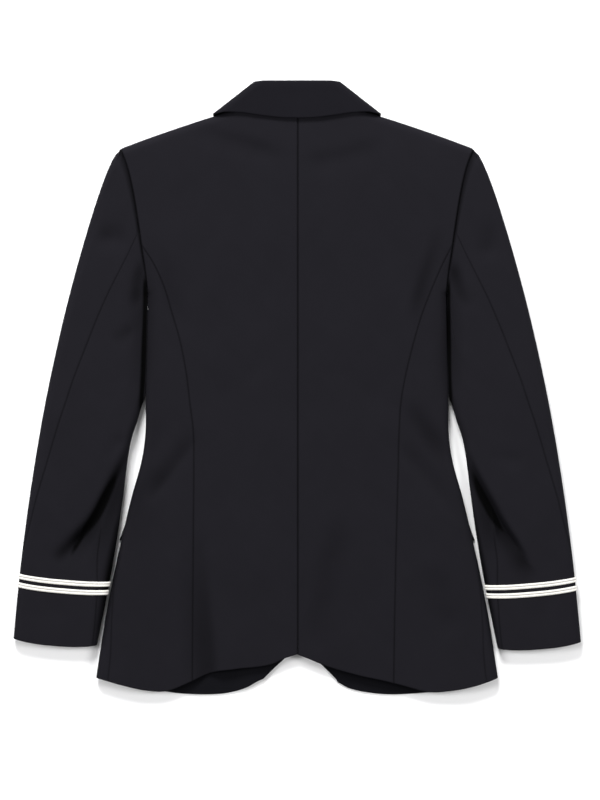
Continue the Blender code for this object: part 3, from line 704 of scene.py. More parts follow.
@dataclass(frozen=True)
class Spread:
    """How closely columns lie on a path."""

    length: float = 3.6
    turn: float = 0.20
    seam_step: float = 0.55
    seam_fade: float = 2.4
    smooth_rows: int = 7
    tightest: float = 1.5
    doubled: float = 1e-7

    def columns(self, path: Array) -> int:
        """Return how many steps a path needs."""
        return max(6, int(math.ceil(self.measure(path)[1][-1])))

    def measure(self, points: Array) -> tuple[Array, Array, Array]:
        """Return a path without doubled points, its measure and its ways.

        Args:
            points: The path's points.

        Returns:
            The points, their measure and the ways between them.
        """
        steps = np.diff(points, axis=0)
        lengths = np.linalg.norm(steps, axis=1)
        keep = np.concatenate(([True], lengths > self.doubled))
        points, steps, lengths = points[keep], steps[keep[1:]], lengths[keep[1:]]
        ways = steps / lengths[:, None]
        turns = np.arccos(np.clip((ways[1:] * ways[:-1]).sum(axis=1), -1, 1))
        turns = np.concatenate(([0], turns)) / 2 + np.concatenate((turns, [0])) / 2
        turns = np.minimum(turns, lengths / self.tightest)
        place = np.concatenate(([0], np.cumsum(lengths)))
        middle = (place[1:] + place[:-1]) / 2
        ends = np.exp(-middle / self.seam_fade) + np.exp(-(place[-1] - middle) / self.seam_fade)
        total = lengths / self.length + turns / self.turn + lengths * ends / self.seam_step
        return points, np.concatenate(([0], np.cumsum(total))), ways

    def lay(self, path: Array, columns: int) -> tuple[Array, Array, Array]:
        """Place columns along a path.

        Args:
            path: The path's points.
            columns: The number of steps.

        Returns:
            The points, the path's ways there and the lengths along it.
        """
        points, measure, ways = self.measure(path)
        places = np.linspace(0, measure[-1], columns + 1)
        middles = (measure[1:] + measure[:-1]) / 2
        return (sample(points, measure, places), sample(ways, middles, places),
                np.interp(places, measure, along(points)))

    def lay_rows(self, paths: Sequence[Array], columns: int) -> tuple[Array, Array, Array]:
        """Place columns on many paths so that they run smoothly from row to row.

        Args:
            paths: One path for each row.
            columns: The number of steps.

        Returns:
            The grid of points, the ways across it and the lengths along each row.
        """
        totals = np.array([along(path)[-1] for path in paths])
        shares = np.array([self.lay(path, columns)[2] for path in paths]) / totals[:, None]
        reach = min(self.smooth_rows, len(paths) // 2)
        padded = np.concatenate((np.repeat(shares[:1], reach, axis=0), shares,
                                 np.repeat(shares[-1:], reach, axis=0)))
        sums = np.cumsum(np.concatenate((np.zeros((1, columns + 1)), padded)), axis=0)
        window = 2 * reach + 1
        lengths = (sums[window:] - sums[:-window]) / window * totals[:, None]
        lengths[:, 0], lengths[:, -1] = 0.0, totals
        grid = np.array([sample(path, along(path), places)
                         for path, places in zip(paths, lengths)])
        return grid, down_ways(grid.swapaxes(0, 1)).swapaxes(0, 1), lengths


SPREAD = Spread()


def down_ways(grid: Array, first: Array | None = None) -> Array:
    """Return the way from row to row at each grid point.

    Args:
        grid: The points, row by row.
        first: The first row's ways where they are known, or else zeros.

    Returns:
        Ways of length one.
    """
    ways = np.empty_like(grid)
    ways[1:-1] = unit(grid[1:-1] - grid[:-2]) + unit(grid[2:] - grid[1:-1])
    ways[0] = grid[1] - grid[0]
    ways[-1] = grid[-1] - grid[-2]
    if first is not None:
        upright = np.linalg.norm(first, axis=1) > 0
        ways[0][upright] = first[upright]
    return unit(ways)


# How deep the groove is at each sewn end, at every row or column. Other ends are turned.
Seams = dict[End, Array | float]


@dataclass(frozen=True)
class Clothwork:
    """Turns rows of points into a cloth wall with sewn or turned ends."""

    groove: float = 0.65
    groove_width: float = 1.1
    round_reach: float = 1.3
    least_share: float = 0.3
    shade_width: float = 1.0
    fold_near: float = 1.0
    painted_shade_tilt: float = 0.3
    samples: int = 8

    def wall(self, paths: Sequence[Array], seams: Seams, outward: float,
             upright: bool = False) -> Sheet:
        """Spread columns over rows and give them thickness.

        Args:
            paths: One path for each row.
            seams: The sewn ends.
            outward: Sign of the outer face's height at the panel's middle.
            upright: True where the first row lies in the shoulder's fold.

        Returns:
            The panel's two faces.
        """
        columns = max(SPREAD.columns(path) for path in paths[::max(1, len(paths) // self.samples)])
        grid, across, lengths = SPREAD.lay_rows(paths, columns)
        return self.thicken(grid, across, lengths, seams, outward, upright)

    def panel(self, rows: Sequence[Array], seams: Seams, outward: float) -> Sheet:
        """Give rows of points that already match their thickness.

        Args:
            rows: The points, row by row.
            seams: The sewn ends.
            outward: Sign of the outer face's height.

        Returns:
            The panel's two faces.
        """
        grid = np.array(rows)
        lengths = np.array([along(row) for row in grid])
        across = unit(np.gradient(grid, axis=1))
        return self.thicken(grid, across, lengths, seams, outward)

    def thicken(self, grid: Array, across: Array, lengths: Array, seams: Seams, outward: float,
                upright: bool = False) -> Sheet:
        """Give a grid of points its thickness and finish its ends.

        Args:
            grid: The points of the cloth's outer face, row by row.
            across: The ways along the rows.
            lengths: The lengths along the rows.
            seams: The sewn ends.
            outward: Sign of the outer face's height at the panel's middle.
            upright: True where the first row lies in the shoulder's fold.

        Returns:
            The panel's two faces.
        """
        first = None
        if upright:
            away = np.abs(grid[0][:, 0])
            folded = distance_to_line(away, grid[0][:, 1], FORM.outer_line) < self.fold_near
            first = np.zeros_like(grid[0])
            first[folded] = (0, 0, outward)
        normals = unit(np.cross(across, down_ways(grid, first)))
        middle = normals[grid.shape[0] // 2, grid.shape[1] // 2, 2]
        if middle * outward < 0:
            normals = -normals
        down = np.concatenate((np.zeros((1, grid.shape[1])),
                               np.cumsum(np.linalg.norm(np.diff(grid, axis=0), axis=2), axis=0)))
        distances = {End.FIRST_COLUMN: lengths - lengths[:, :1],
                     End.LAST_COLUMN: lengths[:, -1:] - lengths,
                     End.FIRST_ROW: down, End.LAST_ROW: down[-1:] - down}
        sink, shade, share = np.zeros(down.shape), np.zeros(down.shape), np.ones(down.shape)
        for end, distance in distances.items():
            if end in seams:
                strong = np.asarray(seams[end])
                strong = strong[:, None] if strong.ndim else strong
                sink = np.maximum(sink, strong * np.exp(-(distance / self.groove_width) ** 2))
                shade = np.maximum(shade, strong * np.exp(-(distance / self.shade_width) ** 2))
            else:
                swell = rounded(distance, self.round_reach)
                share = np.minimum(share, self.least_share + (1 - self.least_share) * swell)
        half = WALL / 2 * share
        out = grid + normals * (half - WALL / 2 - self.groove * sink)[..., None]
        inner = grid - normals * (half + WALL / 2)[..., None]
        flat = np.stack((lengths - lengths.mean(axis=1, keepdims=True), -down), axis=-1)
        # Painted shade of tight folds, kept to the faces that look up.
        painted_shade = FORM.painted_shade(grid) * smooth_step(normals[..., 2] / self.painted_shade_tilt)
        return Sheet(out, inner, flat, np.clip(shade, 0, 1), painted_shade)


CLOTHWORK = Clothwork()


def sheet_mesh(name: str, sheet: Sheet, ring: bool = False) -> bpy.types.Object:
    """Build a closed wall from a panel's two faces.

    Args:
        name: Name of the object.
        sheet: The panel's points.
        ring: True where the last column joins the first.

    Returns:
        The new object, with a flat map and the attributes `inside`, `seam` and `painted_shade`.
    """
    rows, columns = sheet.outer.shape[:2]
    spans = columns if ring else columns - 1
    count = rows * columns
    i, j = np.meshgrid(np.arange(rows - 1), np.arange(spans), indexing="ij")
    k = (j + 1) % columns
    outer = np.stack((i * columns + j, i * columns + k,
                      (i + 1) * columns + k, (i + 1) * columns + j), axis=-1).reshape(-1, 4)
    inner = outer[:, ::-1] + count
    j = np.arange(spans)
    k = (j + 1) % columns
    last = (rows - 1) * columns
    rims = [np.stack((j, j + count, k + count, k), axis=-1),
            np.stack((last + j, last + k, last + k + count, last + j + count), axis=-1)]
    if not ring:
        i = np.arange(rows - 1) * columns
        n = i + columns
        e = columns - 1
        rims.append(np.stack((i, n, n + count, i + count), axis=-1))
        rims.append(np.stack((i + e, i + e + count, n + e + count, n + e), axis=-1))
    faces = np.concatenate([outer, inner] + rims)
    points = np.concatenate((sheet.outer.reshape(-1, 3), sheet.inner.reshape(-1, 3))) * MM
    data = bpy.data.meshes.new(name)
    data.from_pydata(points.tolist(), [], faces.tolist())
    flat = np.concatenate((sheet.flat.reshape(-1, 2), sheet.flat.reshape(-1, 2))) * MM
    corners = np.empty(len(data.loops), int)
    data.loops.foreach_get("vertex_index", corners)
    data.uv_layers.new(name="flat").data.foreach_set("uv", flat[corners].ravel())
    none = np.zeros(count)
    for word, front, behind in (("inside", none, none + 1), ("seam", sheet.shade.ravel(), none),
                                ("painted_shade", sheet.painted_shade.ravel(), none)):
        both = np.concatenate((front, behind))
        data.attributes.new(word, "FLOAT", "POINT").data.foreach_set("value", both)
    return tidy_object(name, data)


def placed(name: str, data: bpy.types.ID) -> bpy.types.Object:
    """Return a new object that stands in the scene.

    Args:
        name: The object's name.
        data: Its mesh, camera or light.

    Returns:
        The object.
    """
    thing = bpy.data.objects.new(name, data)
    bpy.context.scene.collection.objects.link(thing)
    return thing


def apply_modifiers(thing: bpy.types.Object) -> None:
    """Make what an object's modifiers show its own mesh.

    Args:
        thing: The object.
    """
    bpy.context.view_layer.update()
    graph = bpy.context.evaluated_depsgraph_get()
    old, made = thing.data, bpy.data.meshes.new_from_object(thing.evaluated_get(graph))
    thing.modifiers.clear()
    thing.data = made
    bpy.data.meshes.remove(old)


def tidy_object(name: str, data: bpy.types.Mesh, sharp: float = 0.9) -> bpy.types.Object:
    """Turn a mesh outward, shade it smooth and link it.

    Args:
        name: The object's name.
        data: Its mesh.
        sharp: Least angle of a sharp edge.

    Returns:
        The object.
    """
    mesh = bmesh.new()
    mesh.from_mesh(data)
    bmesh.ops.recalc_face_normals(mesh, faces=mesh.faces[:])
    mesh.to_mesh(data)
    mesh.free()
    data.shade_smooth()
    data.set_sharp_from_angle(angle=sharp)
    return placed(name, data)


def put(tree: bpy.types.NodeTree, socket: Socket, value: object) -> None:
    """Set an input's value, or link an output to it.

    Args:
        tree: The node tree.
        socket: The input.
        value: A value, or the output to link.
    """
    if isinstance(value, Socket):
        tree.links.new(value, socket)
    else:
        socket.default_value = value


def add_node(tree: bpy.types.NodeTree, kind: str, inputs: dict,
             **settings: object) -> bpy.types.Node:
    """Add a node.

    Args:
        tree: The node tree.
        kind: The node's type name.
        inputs: Values or output sockets by input name or index.
        settings: The node's own properties.

    Returns:
        The node.
    """
    made = tree.nodes.new(kind)
    for key, value in settings.items():
        setattr(made, key, value)
    for key, value in inputs.items():
        put(tree, made.inputs[key], value)
    return made


def rgba(colour: Colour, scale: float = 1.0) -> tuple[float, float, float, float]:
    """Return a colour with full alpha, made lighter or darker."""
    return (*[min(part * scale, 1.0) for part in colour], 1.0)


class Shader:
    """Builds a material's nodes in short calls."""

    # A wave texture of scale 1 repeats at this length, in metres.
    WAVE_LENGTH = 0.314

    def __init__(self, name: str) -> None:
        """Start a material with its Principled shader.

        Args:
            name: The material's name.
        """
        self.material = bpy.data.materials.new(name)
        self.material.use_nodes = True
        self.tree = self.material.node_tree
        self.surface = self.tree.nodes["Principled BSDF"]

    def value(self, kind: str, output: str | int = "Fac", inputs: dict | None = None,
              **settings: object) -> Socket:
        """Return an output of a new shader node."""
        return add_node(self.tree, "ShaderNode" + kind, inputs or {}, **settings).outputs[output]

    def place(self, system: str) -> Socket:
        """Return places on the piece: UV for the flat cut, Object for its own space."""
        return self.value("TexCoord", system)

    def attribute(self, name: str) -> Socket:
        """Return the value that a mesh carries under a name."""
        return self.value("Attribute", attribute_name=name)

    def noise(self, place: Socket, scale: float, detail: float, **more: float) -> Socket:
        """Return a noise over places."""
        return self.value("TexNoise", "Fac", {"Vector": place, "Scale": scale,
                                              "Detail": detail, **more})

    def slanted(self, place: Socket, degrees: float, pitch: float, **more: float) -> Socket:
        """Return slanted lines, one at every pitch in metres.

        Args:
            place: Places on the piece.
            degrees: The slant.
            pitch: The distance from line to line.
            more: Other inputs of the wave.

        Returns:
            A share from 0 to 1.
        """
        turned = self.value("Mapping", 0, {"Vector": place,
                                           "Rotation": (0, 0, math.radians(degrees))})
        return self.value("TexWave", "Fac", {"Vector": turned, "Scale": self.WAVE_LENGTH / pitch,
                                             "Detail": 1.0, **more})

    def math(self, operation: str, a: object, b: object, c: object = 0.0) -> Socket:
        """Return the result of a sum, product or other operation."""
        return self.value("Math", 0, {0: a, 1: b, 2: c}, operation=operation)

    def times(self, a: object, b: object) -> Socket:
        """Return a product."""
        return self.math("MULTIPLY", a, b)

    def mix(self, share: object, a: object, b: object) -> Socket:
        """Return a colour between two others."""
        return self.value("Mix", 2, {"Factor": share, 6: a, 7: b}, data_type="RGBA")

    def relief(self, height: Socket, strength: float, distance: float) -> Socket:
        """Return normals raised by a height."""
        return self.value("Bump", 0, {"Height": height, "Strength": strength,
                                      "Distance": distance})

    def finish(self, inputs: dict[str, object]) -> bpy.types.Material:
        """Set the Principled shader's inputs and return the material.

        Args:
            inputs: Values or outputs by input name.

        Returns:
            The material.
        """
        for name, value in inputs.items():
            put(self.tree, self.surface.inputs[name], value)
        return self.material


@dataclass(frozen=True)
class SuitingFinish:
    """Fine twill suiting, smooth satin lining on its inner face."""

    name: str
    colour: Colour
    roughness: float
    lining: Colour = (0.0045, 0.0045, 0.006)
    sheen: float = 0.02
    sheen_roughness: float = 0.35
    sheen_tint: Colour = (0.55, 0.58, 0.68)
    specular: float = 0.03
    twill_degrees: float = 58.0
    twill_pitch: float = 0.0009
    fuzz_pitch: float = 0.0022
    mottle_pitch: float = 0.045
    relief_strength: float = 0.55
    twill_height: float = 0.00010

    def material(self) -> bpy.types.Material:
        """Return the cloth's material.

        Returns:
            The material.
        """
        s = Shader(self.name)
        flat = s.place("UV")
        twill = s.slanted(flat, self.twill_degrees, self.twill_pitch,
                          **{"Distortion": 1.2, "Detail Scale": 3.0})
        fuzz = s.noise(flat, 1 / self.fuzz_pitch, 4.0, Roughness=0.7)
        mottle = s.noise(flat, 1 / self.mottle_pitch, 3.0)
        inside = s.attribute("inside")
        cloth = s.mix(s.math("MULTIPLY_ADD", mottle, 0.6, 0.2),
                      rgba(self.colour, 0.82), rgba(self.colour, 1.2))
        # Random fuzz lightens the cloth; the seam and fold attributes darken it as painted shade
        # in seam grooves and tight folds.
        for share, scale in ((s.times(fuzz, 0.35), 1.5),
                             (s.times(s.attribute("seam"), 0.75), 0.15),
                             (s.attribute("painted_shade"), 0.04)):
            cloth = s.mix(share, cloth, rgba(self.colour, scale))
        rough = s.math("MULTIPLY_ADD", fuzz, 0.10, self.roughness - 0.05)
        height = s.math("ADD", s.times(twill, 0.6), s.times(fuzz, 0.9))
        return s.finish({
            "Base Color": s.mix(inside, cloth, rgba(self.lining)),
            "Roughness": s.math("SUBTRACT", rough, s.times(inside, 0.3)),
            "Sheen Weight": self.sheen, "Sheen Roughness": self.sheen_roughness,
            "Sheen Tint": rgba(self.sheen_tint), "Specular IOR Level": self.specular,
            "Normal": s.relief(height, self.relief_strength, self.twill_height)})


@dataclass(frozen=True)
class BraidFinish:
    """Twisted off-white cord, the ribs of the rank braid."""

    name: str
    colour: Colour
    groove_shade_colour: Colour
    twist_degrees: float = 32.0
    cord_pitch: float = 0.0016
    grain_scale: float = 900.0
    sheen: float = 0.2
    relief_strength: float = 0.8
    twist_height: float = 0.00025

    def material(self) -> bpy.types.Material:
        """Return the braid's material.

        Returns:
            The material.
        """
        s = Shader(self.name)
        flat = s.place("UV")
        twist = s.slanted(flat, self.twist_degrees, self.cord_pitch, Distortion=0.6)
        grain = s.noise(flat, self.grain_scale, 3.0)
        thread = s.mix(s.times(twist, 0.5), rgba(self.colour, 0.86), rgba(self.colour, 1.06))
        # Painted shade: the groove between the two ribs is darkened towards a grey.
        groove = s.times(s.attribute("seam"), 0.85)
        height = s.math("ADD", twist, s.times(grain, 0.3))
        return s.finish({
            "Base Color": s.mix(groove, thread, rgba(self.groove_shade_colour)),
            "Roughness": s.math("ADD", s.times(grain, 0.15), 0.5),
            "Sheen Weight": self.sheen,
            "Normal": s.relief(height, self.relief_strength, self.twist_height)})


@dataclass(frozen=True)
class GrainFinish:
    """A plain finish with a fine grain, such as button resin or sewing thread."""

    name: str
    colour: Colour
    scale: float
    detail: float
    dark: float
    light: float
    roughness: float
    rough_range: float
    relief_strength: float
    relief_height: float
    distortion: float = 0.0
    sheen: float = 0.0
    coat: float = 0.0

    def material(self) -> bpy.types.Material:
        """Return the finish's material.

        Returns:
            The material.
        """
        s = Shader(self.name)
        grain = s.noise(s.place("Object"), self.scale, self.detail, Distortion=self.distortion)
        return s.finish({
            "Base Color": s.mix(grain, rgba(self.colour, self.dark),
                                rgba(self.colour, self.light)),
            "Roughness": s.math("ADD", s.times(grain, self.rough_range), self.roughness),
            "Sheen Weight": self.sheen, "Coat Weight": self.coat,
            "Normal": s.relief(grain, self.relief_strength, self.relief_height)})


def resin(name: str, colour: Colour) -> GrainFinish:
    """Return a polished button resin with faint swirls.

    Args:
        name: The material's name.
        colour: The base colour.

    Returns:
        The finish.
    """
    return GrainFinish(name, colour, scale=160.0, detail=4.0, dark=0.6, light=1.9,
                       roughness=0.22, rough_range=0.14, relief_strength=0.2,
                       relief_height=0.00005, distortion=1.6, coat=0.25)


def thread_finish(name: str, colour: Colour) -> GrainFinish:
    """Return a sewing thread's finish with its twist.

    Args:
        name: The material's name.
        colour: The base colour.

    Returns:
        The finish.
    """
    return GrainFinish(name, colour, scale=2600.0, detail=2.0, dark=0.75, light=1.2,
                       roughness=0.45, rough_range=0.2, relief_strength=0.5,
                       relief_height=0.0001, sheen=0.15)


class Workshop:
    """The finishes of the whole garment, and how a piece is dressed and entered."""

    def __init__(self) -> None:
        """Make every material once."""
        self.suiting = SuitingFinish("navy suiting twill", (0.0082, 0.0078, 0.0101),
                                     0.80).material()
        # Collar and lapels take a darker copy of the suiting: painted shade for the collar, which
        # lies tilted towards the key light.
        self.facing = SuitingFinish("navy collar twill", (0.0060, 0.0057, 0.0076),
                                    0.82).material()
        # The braid's second colour is the painted shade of the groove between its ribs.
        self.braid = BraidFinish("off-white braid cord", (0.80, 0.78, 0.73),
                                 (0.30, 0.29, 0.28)).material()
        self.button = resin("dark navy button resin", (0.020, 0.021, 0.028)).material()
        self.navy_thread = thread_finish("navy sewing thread", (0.016, 0.016, 0.023)).material()
        self.white_thread = thread_finish("off-white sewing thread",
                                          (0.66, 0.64, 0.60)).material()

    @staticmethod
    def enter(thing: bpy.types.Object, material: bpy.types.Material, slot: str,
              nodes: Sequence[str] = ()) -> None:
        """Dress a piece, let it ride on the garment and hide the CAD nodes that it stands for.

        Args:
            thing: The piece.
            material: Its finish.
            slot: The record's material slot; not used.
            nodes: The CAD nodes that it stands for.
        """
        thing.data.materials.clear()
        thing.data.materials.append(material)
        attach(thing, "root")
        if nodes:
            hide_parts(*nodes)
        LOG.info("%s: %d faces", thing.name, len(thing.data.polygons))

    @staticmethod
    def declare(thing: bpy.types.Object, sheet: Sheet, rests_on: str) -> None:
        """Work out a panel's greatest width and length, which are not kept.

        Args:
            thing: The piece; not used.
            sheet: The panel's points.
            rests_on: The piece that it lies on, or the floor; not used.
        """
        rows = np.linalg.norm(np.diff(sheet.outer, axis=1), axis=2).sum(axis=1)
        columns = np.linalg.norm(np.diff(sheet.outer, axis=0), axis=2).sum(axis=0)
        width, length = float(rows.max()) * MM, float(columns.max()) * MM
        if width > length:
            width, length = length, width

    def panel(self, part: str, side: Side | None, sheet: Sheet, rests_on: str = "floor",
              facing: bool = False) -> None:
        """Build a panel from its points, dress it and measure its cut.

        Args:
            part: The panel's name without its side.
            side: The panel's side, or None where there is only one.
            sheet: The panel's points.
            rests_on: The piece that it lies on, or the floor.
            facing: True for the pressed cloth of collar and lapels, which take the darker copy of
                the suiting as painted shade.
        """
        tail = "_" + side.word if side else ""
        thing = sheet_mesh(part + "_cloth" + tail, sheet)
        slot = "facing" if facing else "suiting"
        self.enter(thing, self.facing if facing else self.suiting, slot, [part + tail])
        self.declare(thing, sheet, rests_on)


LEVEL_STEP = 3.4
TURN_ROWS = 9
HEM_RISES = (6.0, 3.2, 1.6, 0.8, 0.3, 0.0)


def level_steps() -> list[float]:
    """Return the body's row levels from the shoulder tip to the hem.

    Returns:
        The levels, from the top down.
    """
    turn = TIP_Y - FOLD_REACH * (1 - np.cos(np.linspace(0, np.pi / 2, TURN_ROWS)))
    marks = [turn[-1], HIND_ARM_TOP_Y, PRINCESS_TOP_Y, FOREARM_TOP_Y, UNDERARM_Y,
             SIDE_HEM_Y + HEM_RISES[0]]
    levels = list(turn)
    for high, low in zip(marks, marks[1:]):
        count = max(1, round((high - low) / LEVEL_STEP))
        levels += list(np.linspace(high, low, count + 1)[1:])
    levels += [SIDE_HEM_Y + rise for rise in HEM_RISES[1:]]
    return [float(level) for level in levels]


LEVELS = level_steps()


def wrap_length(level: float) -> float:
    """Return how far the side seam lies onto the back."""
    drop = (SIDE_SEAM_WRAP_Y - level) / (SIDE_SEAM_WRAP_Y - SIDE_HEM_Y)
    return SIDE_SEAM_WRAP * float(smooth_step(drop))


@dataclass
class Body:
    """One half of the body: back panel, side-back panel and front panel."""

    side: Side
    overlap_lift: float = 2.4
    overlap_start_x: float = -80.0
    overlap_ramp: float = 32.0
    side_back_top: float = 165.5
    princess: float = 0.7
    armhole: float = 1.5
    side_seam: float = 0.45
    princess_fade: float = 6.0

    def paths(self) -> tuple[list[Array], list[Array], list[Array], list[float]]:
        """Return the row paths of the back, the side-back and the front.

        Returns:
            The three lists of rows, and the levels of the side-back's rows.
        """
        back, side_back, front, side_levels = [], [], [], []
        gap = SEAM_GAP / 2
        for level in LEVELS:
            upper = FORM.half_row(level, self.side, Layer.UPPER)
            lengths = along(upper)
            seam = lengths[-1]
            if level < PRINCESS_TOP_Y:
                away = FORM.meet(level, self.side, Layer.UPPER, FORM.princess[self.side])
                seam = float(np.interp(away, np.abs(upper[:, 0]), lengths))
            back.append(cut_path(upper, gap, seam - gap))
            if level <= self.side_back_top:
                end = lengths[-1] - wrap_length(level)
                side_back.append(cut_path(upper, seam + gap, end - gap))
                side_levels.append(level)
            lower = FORM.half_row(level, self.side, Layer.LOWER)
            if self.side is Side.LEFT:
                rise = smooth_step((lower[:, 0] - self.overlap_start_x) / self.overlap_ramp)
                lower[:, 2] += self.overlap_lift * rise
            path, start = lower[::-1], gap
            if level < UNDERARM_Y:
                start += lengths[-1] - wrap_length(level)
                path = np.concatenate((upper[:-1], path))
            front.append(cut_path(path, start, along(path)[-1]))
        return back, side_back, front, side_levels

    def build(self, shop: Workshop) -> "BodySheets":
        """Build and enter the three panels.

        Args:
            shop: The finishes.

        Returns:
            The panels' points, for the sleeve that joins them.
        """
        back_paths, side_paths, front_paths, side_levels = self.paths()
        levels, low = np.array(LEVELS), np.array(side_levels)
        above = smooth_step((levels - PRINCESS_TOP_Y) / self.princess_fade + 1)
        side_seam, front_seam = (
            self.side_seam + (self.armhole - self.side_seam) * (heights > UNDERARM_Y)
            for heights in (low, levels))
        back = CLOTHWORK.wall(back_paths, {
            End.FIRST_COLUMN: 1.0, End.FIRST_ROW: self.princess,
            End.LAST_COLUMN: self.princess + (self.armhole - self.princess) * above}, 1, True)
        side_back = CLOTHWORK.wall(side_paths, {
            End.FIRST_COLUMN: self.princess, End.LAST_COLUMN: side_seam, End.FIRST_ROW: 1.0}, 1)
        front = CLOTHWORK.wall(front_paths, {
            End.FIRST_COLUMN: front_seam, End.FIRST_ROW: self.princess}, -1, True)
        under = "front_cloth_" + self.side.word
        shop.panel("front", self.side, front)
        shop.panel("side_back", self.side, side_back, under)
        shop.panel("back", self.side, back, under)
        return BodySheets(back, side_back, front, side_levels)


@dataclass
class BodySheets:
    """The points of one half of the body."""

    back: Sheet
    side_back: Sheet
    front: Sheet
    side_levels: list[float]

    def upper_end(self, low: float, high: float) -> Array:
        """Return the back's armhole points between two levels, from the top down.

        Args:
            low: The lowest level.
            high: The highest level.

        Returns:
            The points.
        """
        found = [self.back.outer[k, -1] for k, level in enumerate(LEVELS)
                 if max(low, PRINCESS_TOP_Y) <= level <= high]
        found += [self.side_back.outer[k, -1] for k, level in enumerate(self.side_levels)
                  if low <= level <= high]
        return np.array(found)

    def lower_end(self, low: float, high: float) -> Array:
        """Return the front's armhole points between two levels, from the top down."""
        return np.array([self.front.outer[k, 0] for k, level in enumerate(LEVELS)
                         if low <= level <= high])


def eased_pull(pull: Array, passes: int = 40) -> Array:
    """Return a row of shifts without sudden changes between its ends.

    Args:
        pull: The shifts, which are changed.
        passes: How often they are evened.

    Returns:
        The shifts.
    """
    for _ in range(passes):
        pull[1:-1] = (pull[:-2] + 2 * pull[1:-1] + pull[2:]) / 4
    return pull


class Band(NamedTuple):
    """A braid's name and its two edges, as heights up from the cuff."""

    name: str
    low: float
    high: float


BRAID_BANDS = table(Band, ("lower", 61.2, 66.9), ("upper", 71.1, 76.8))


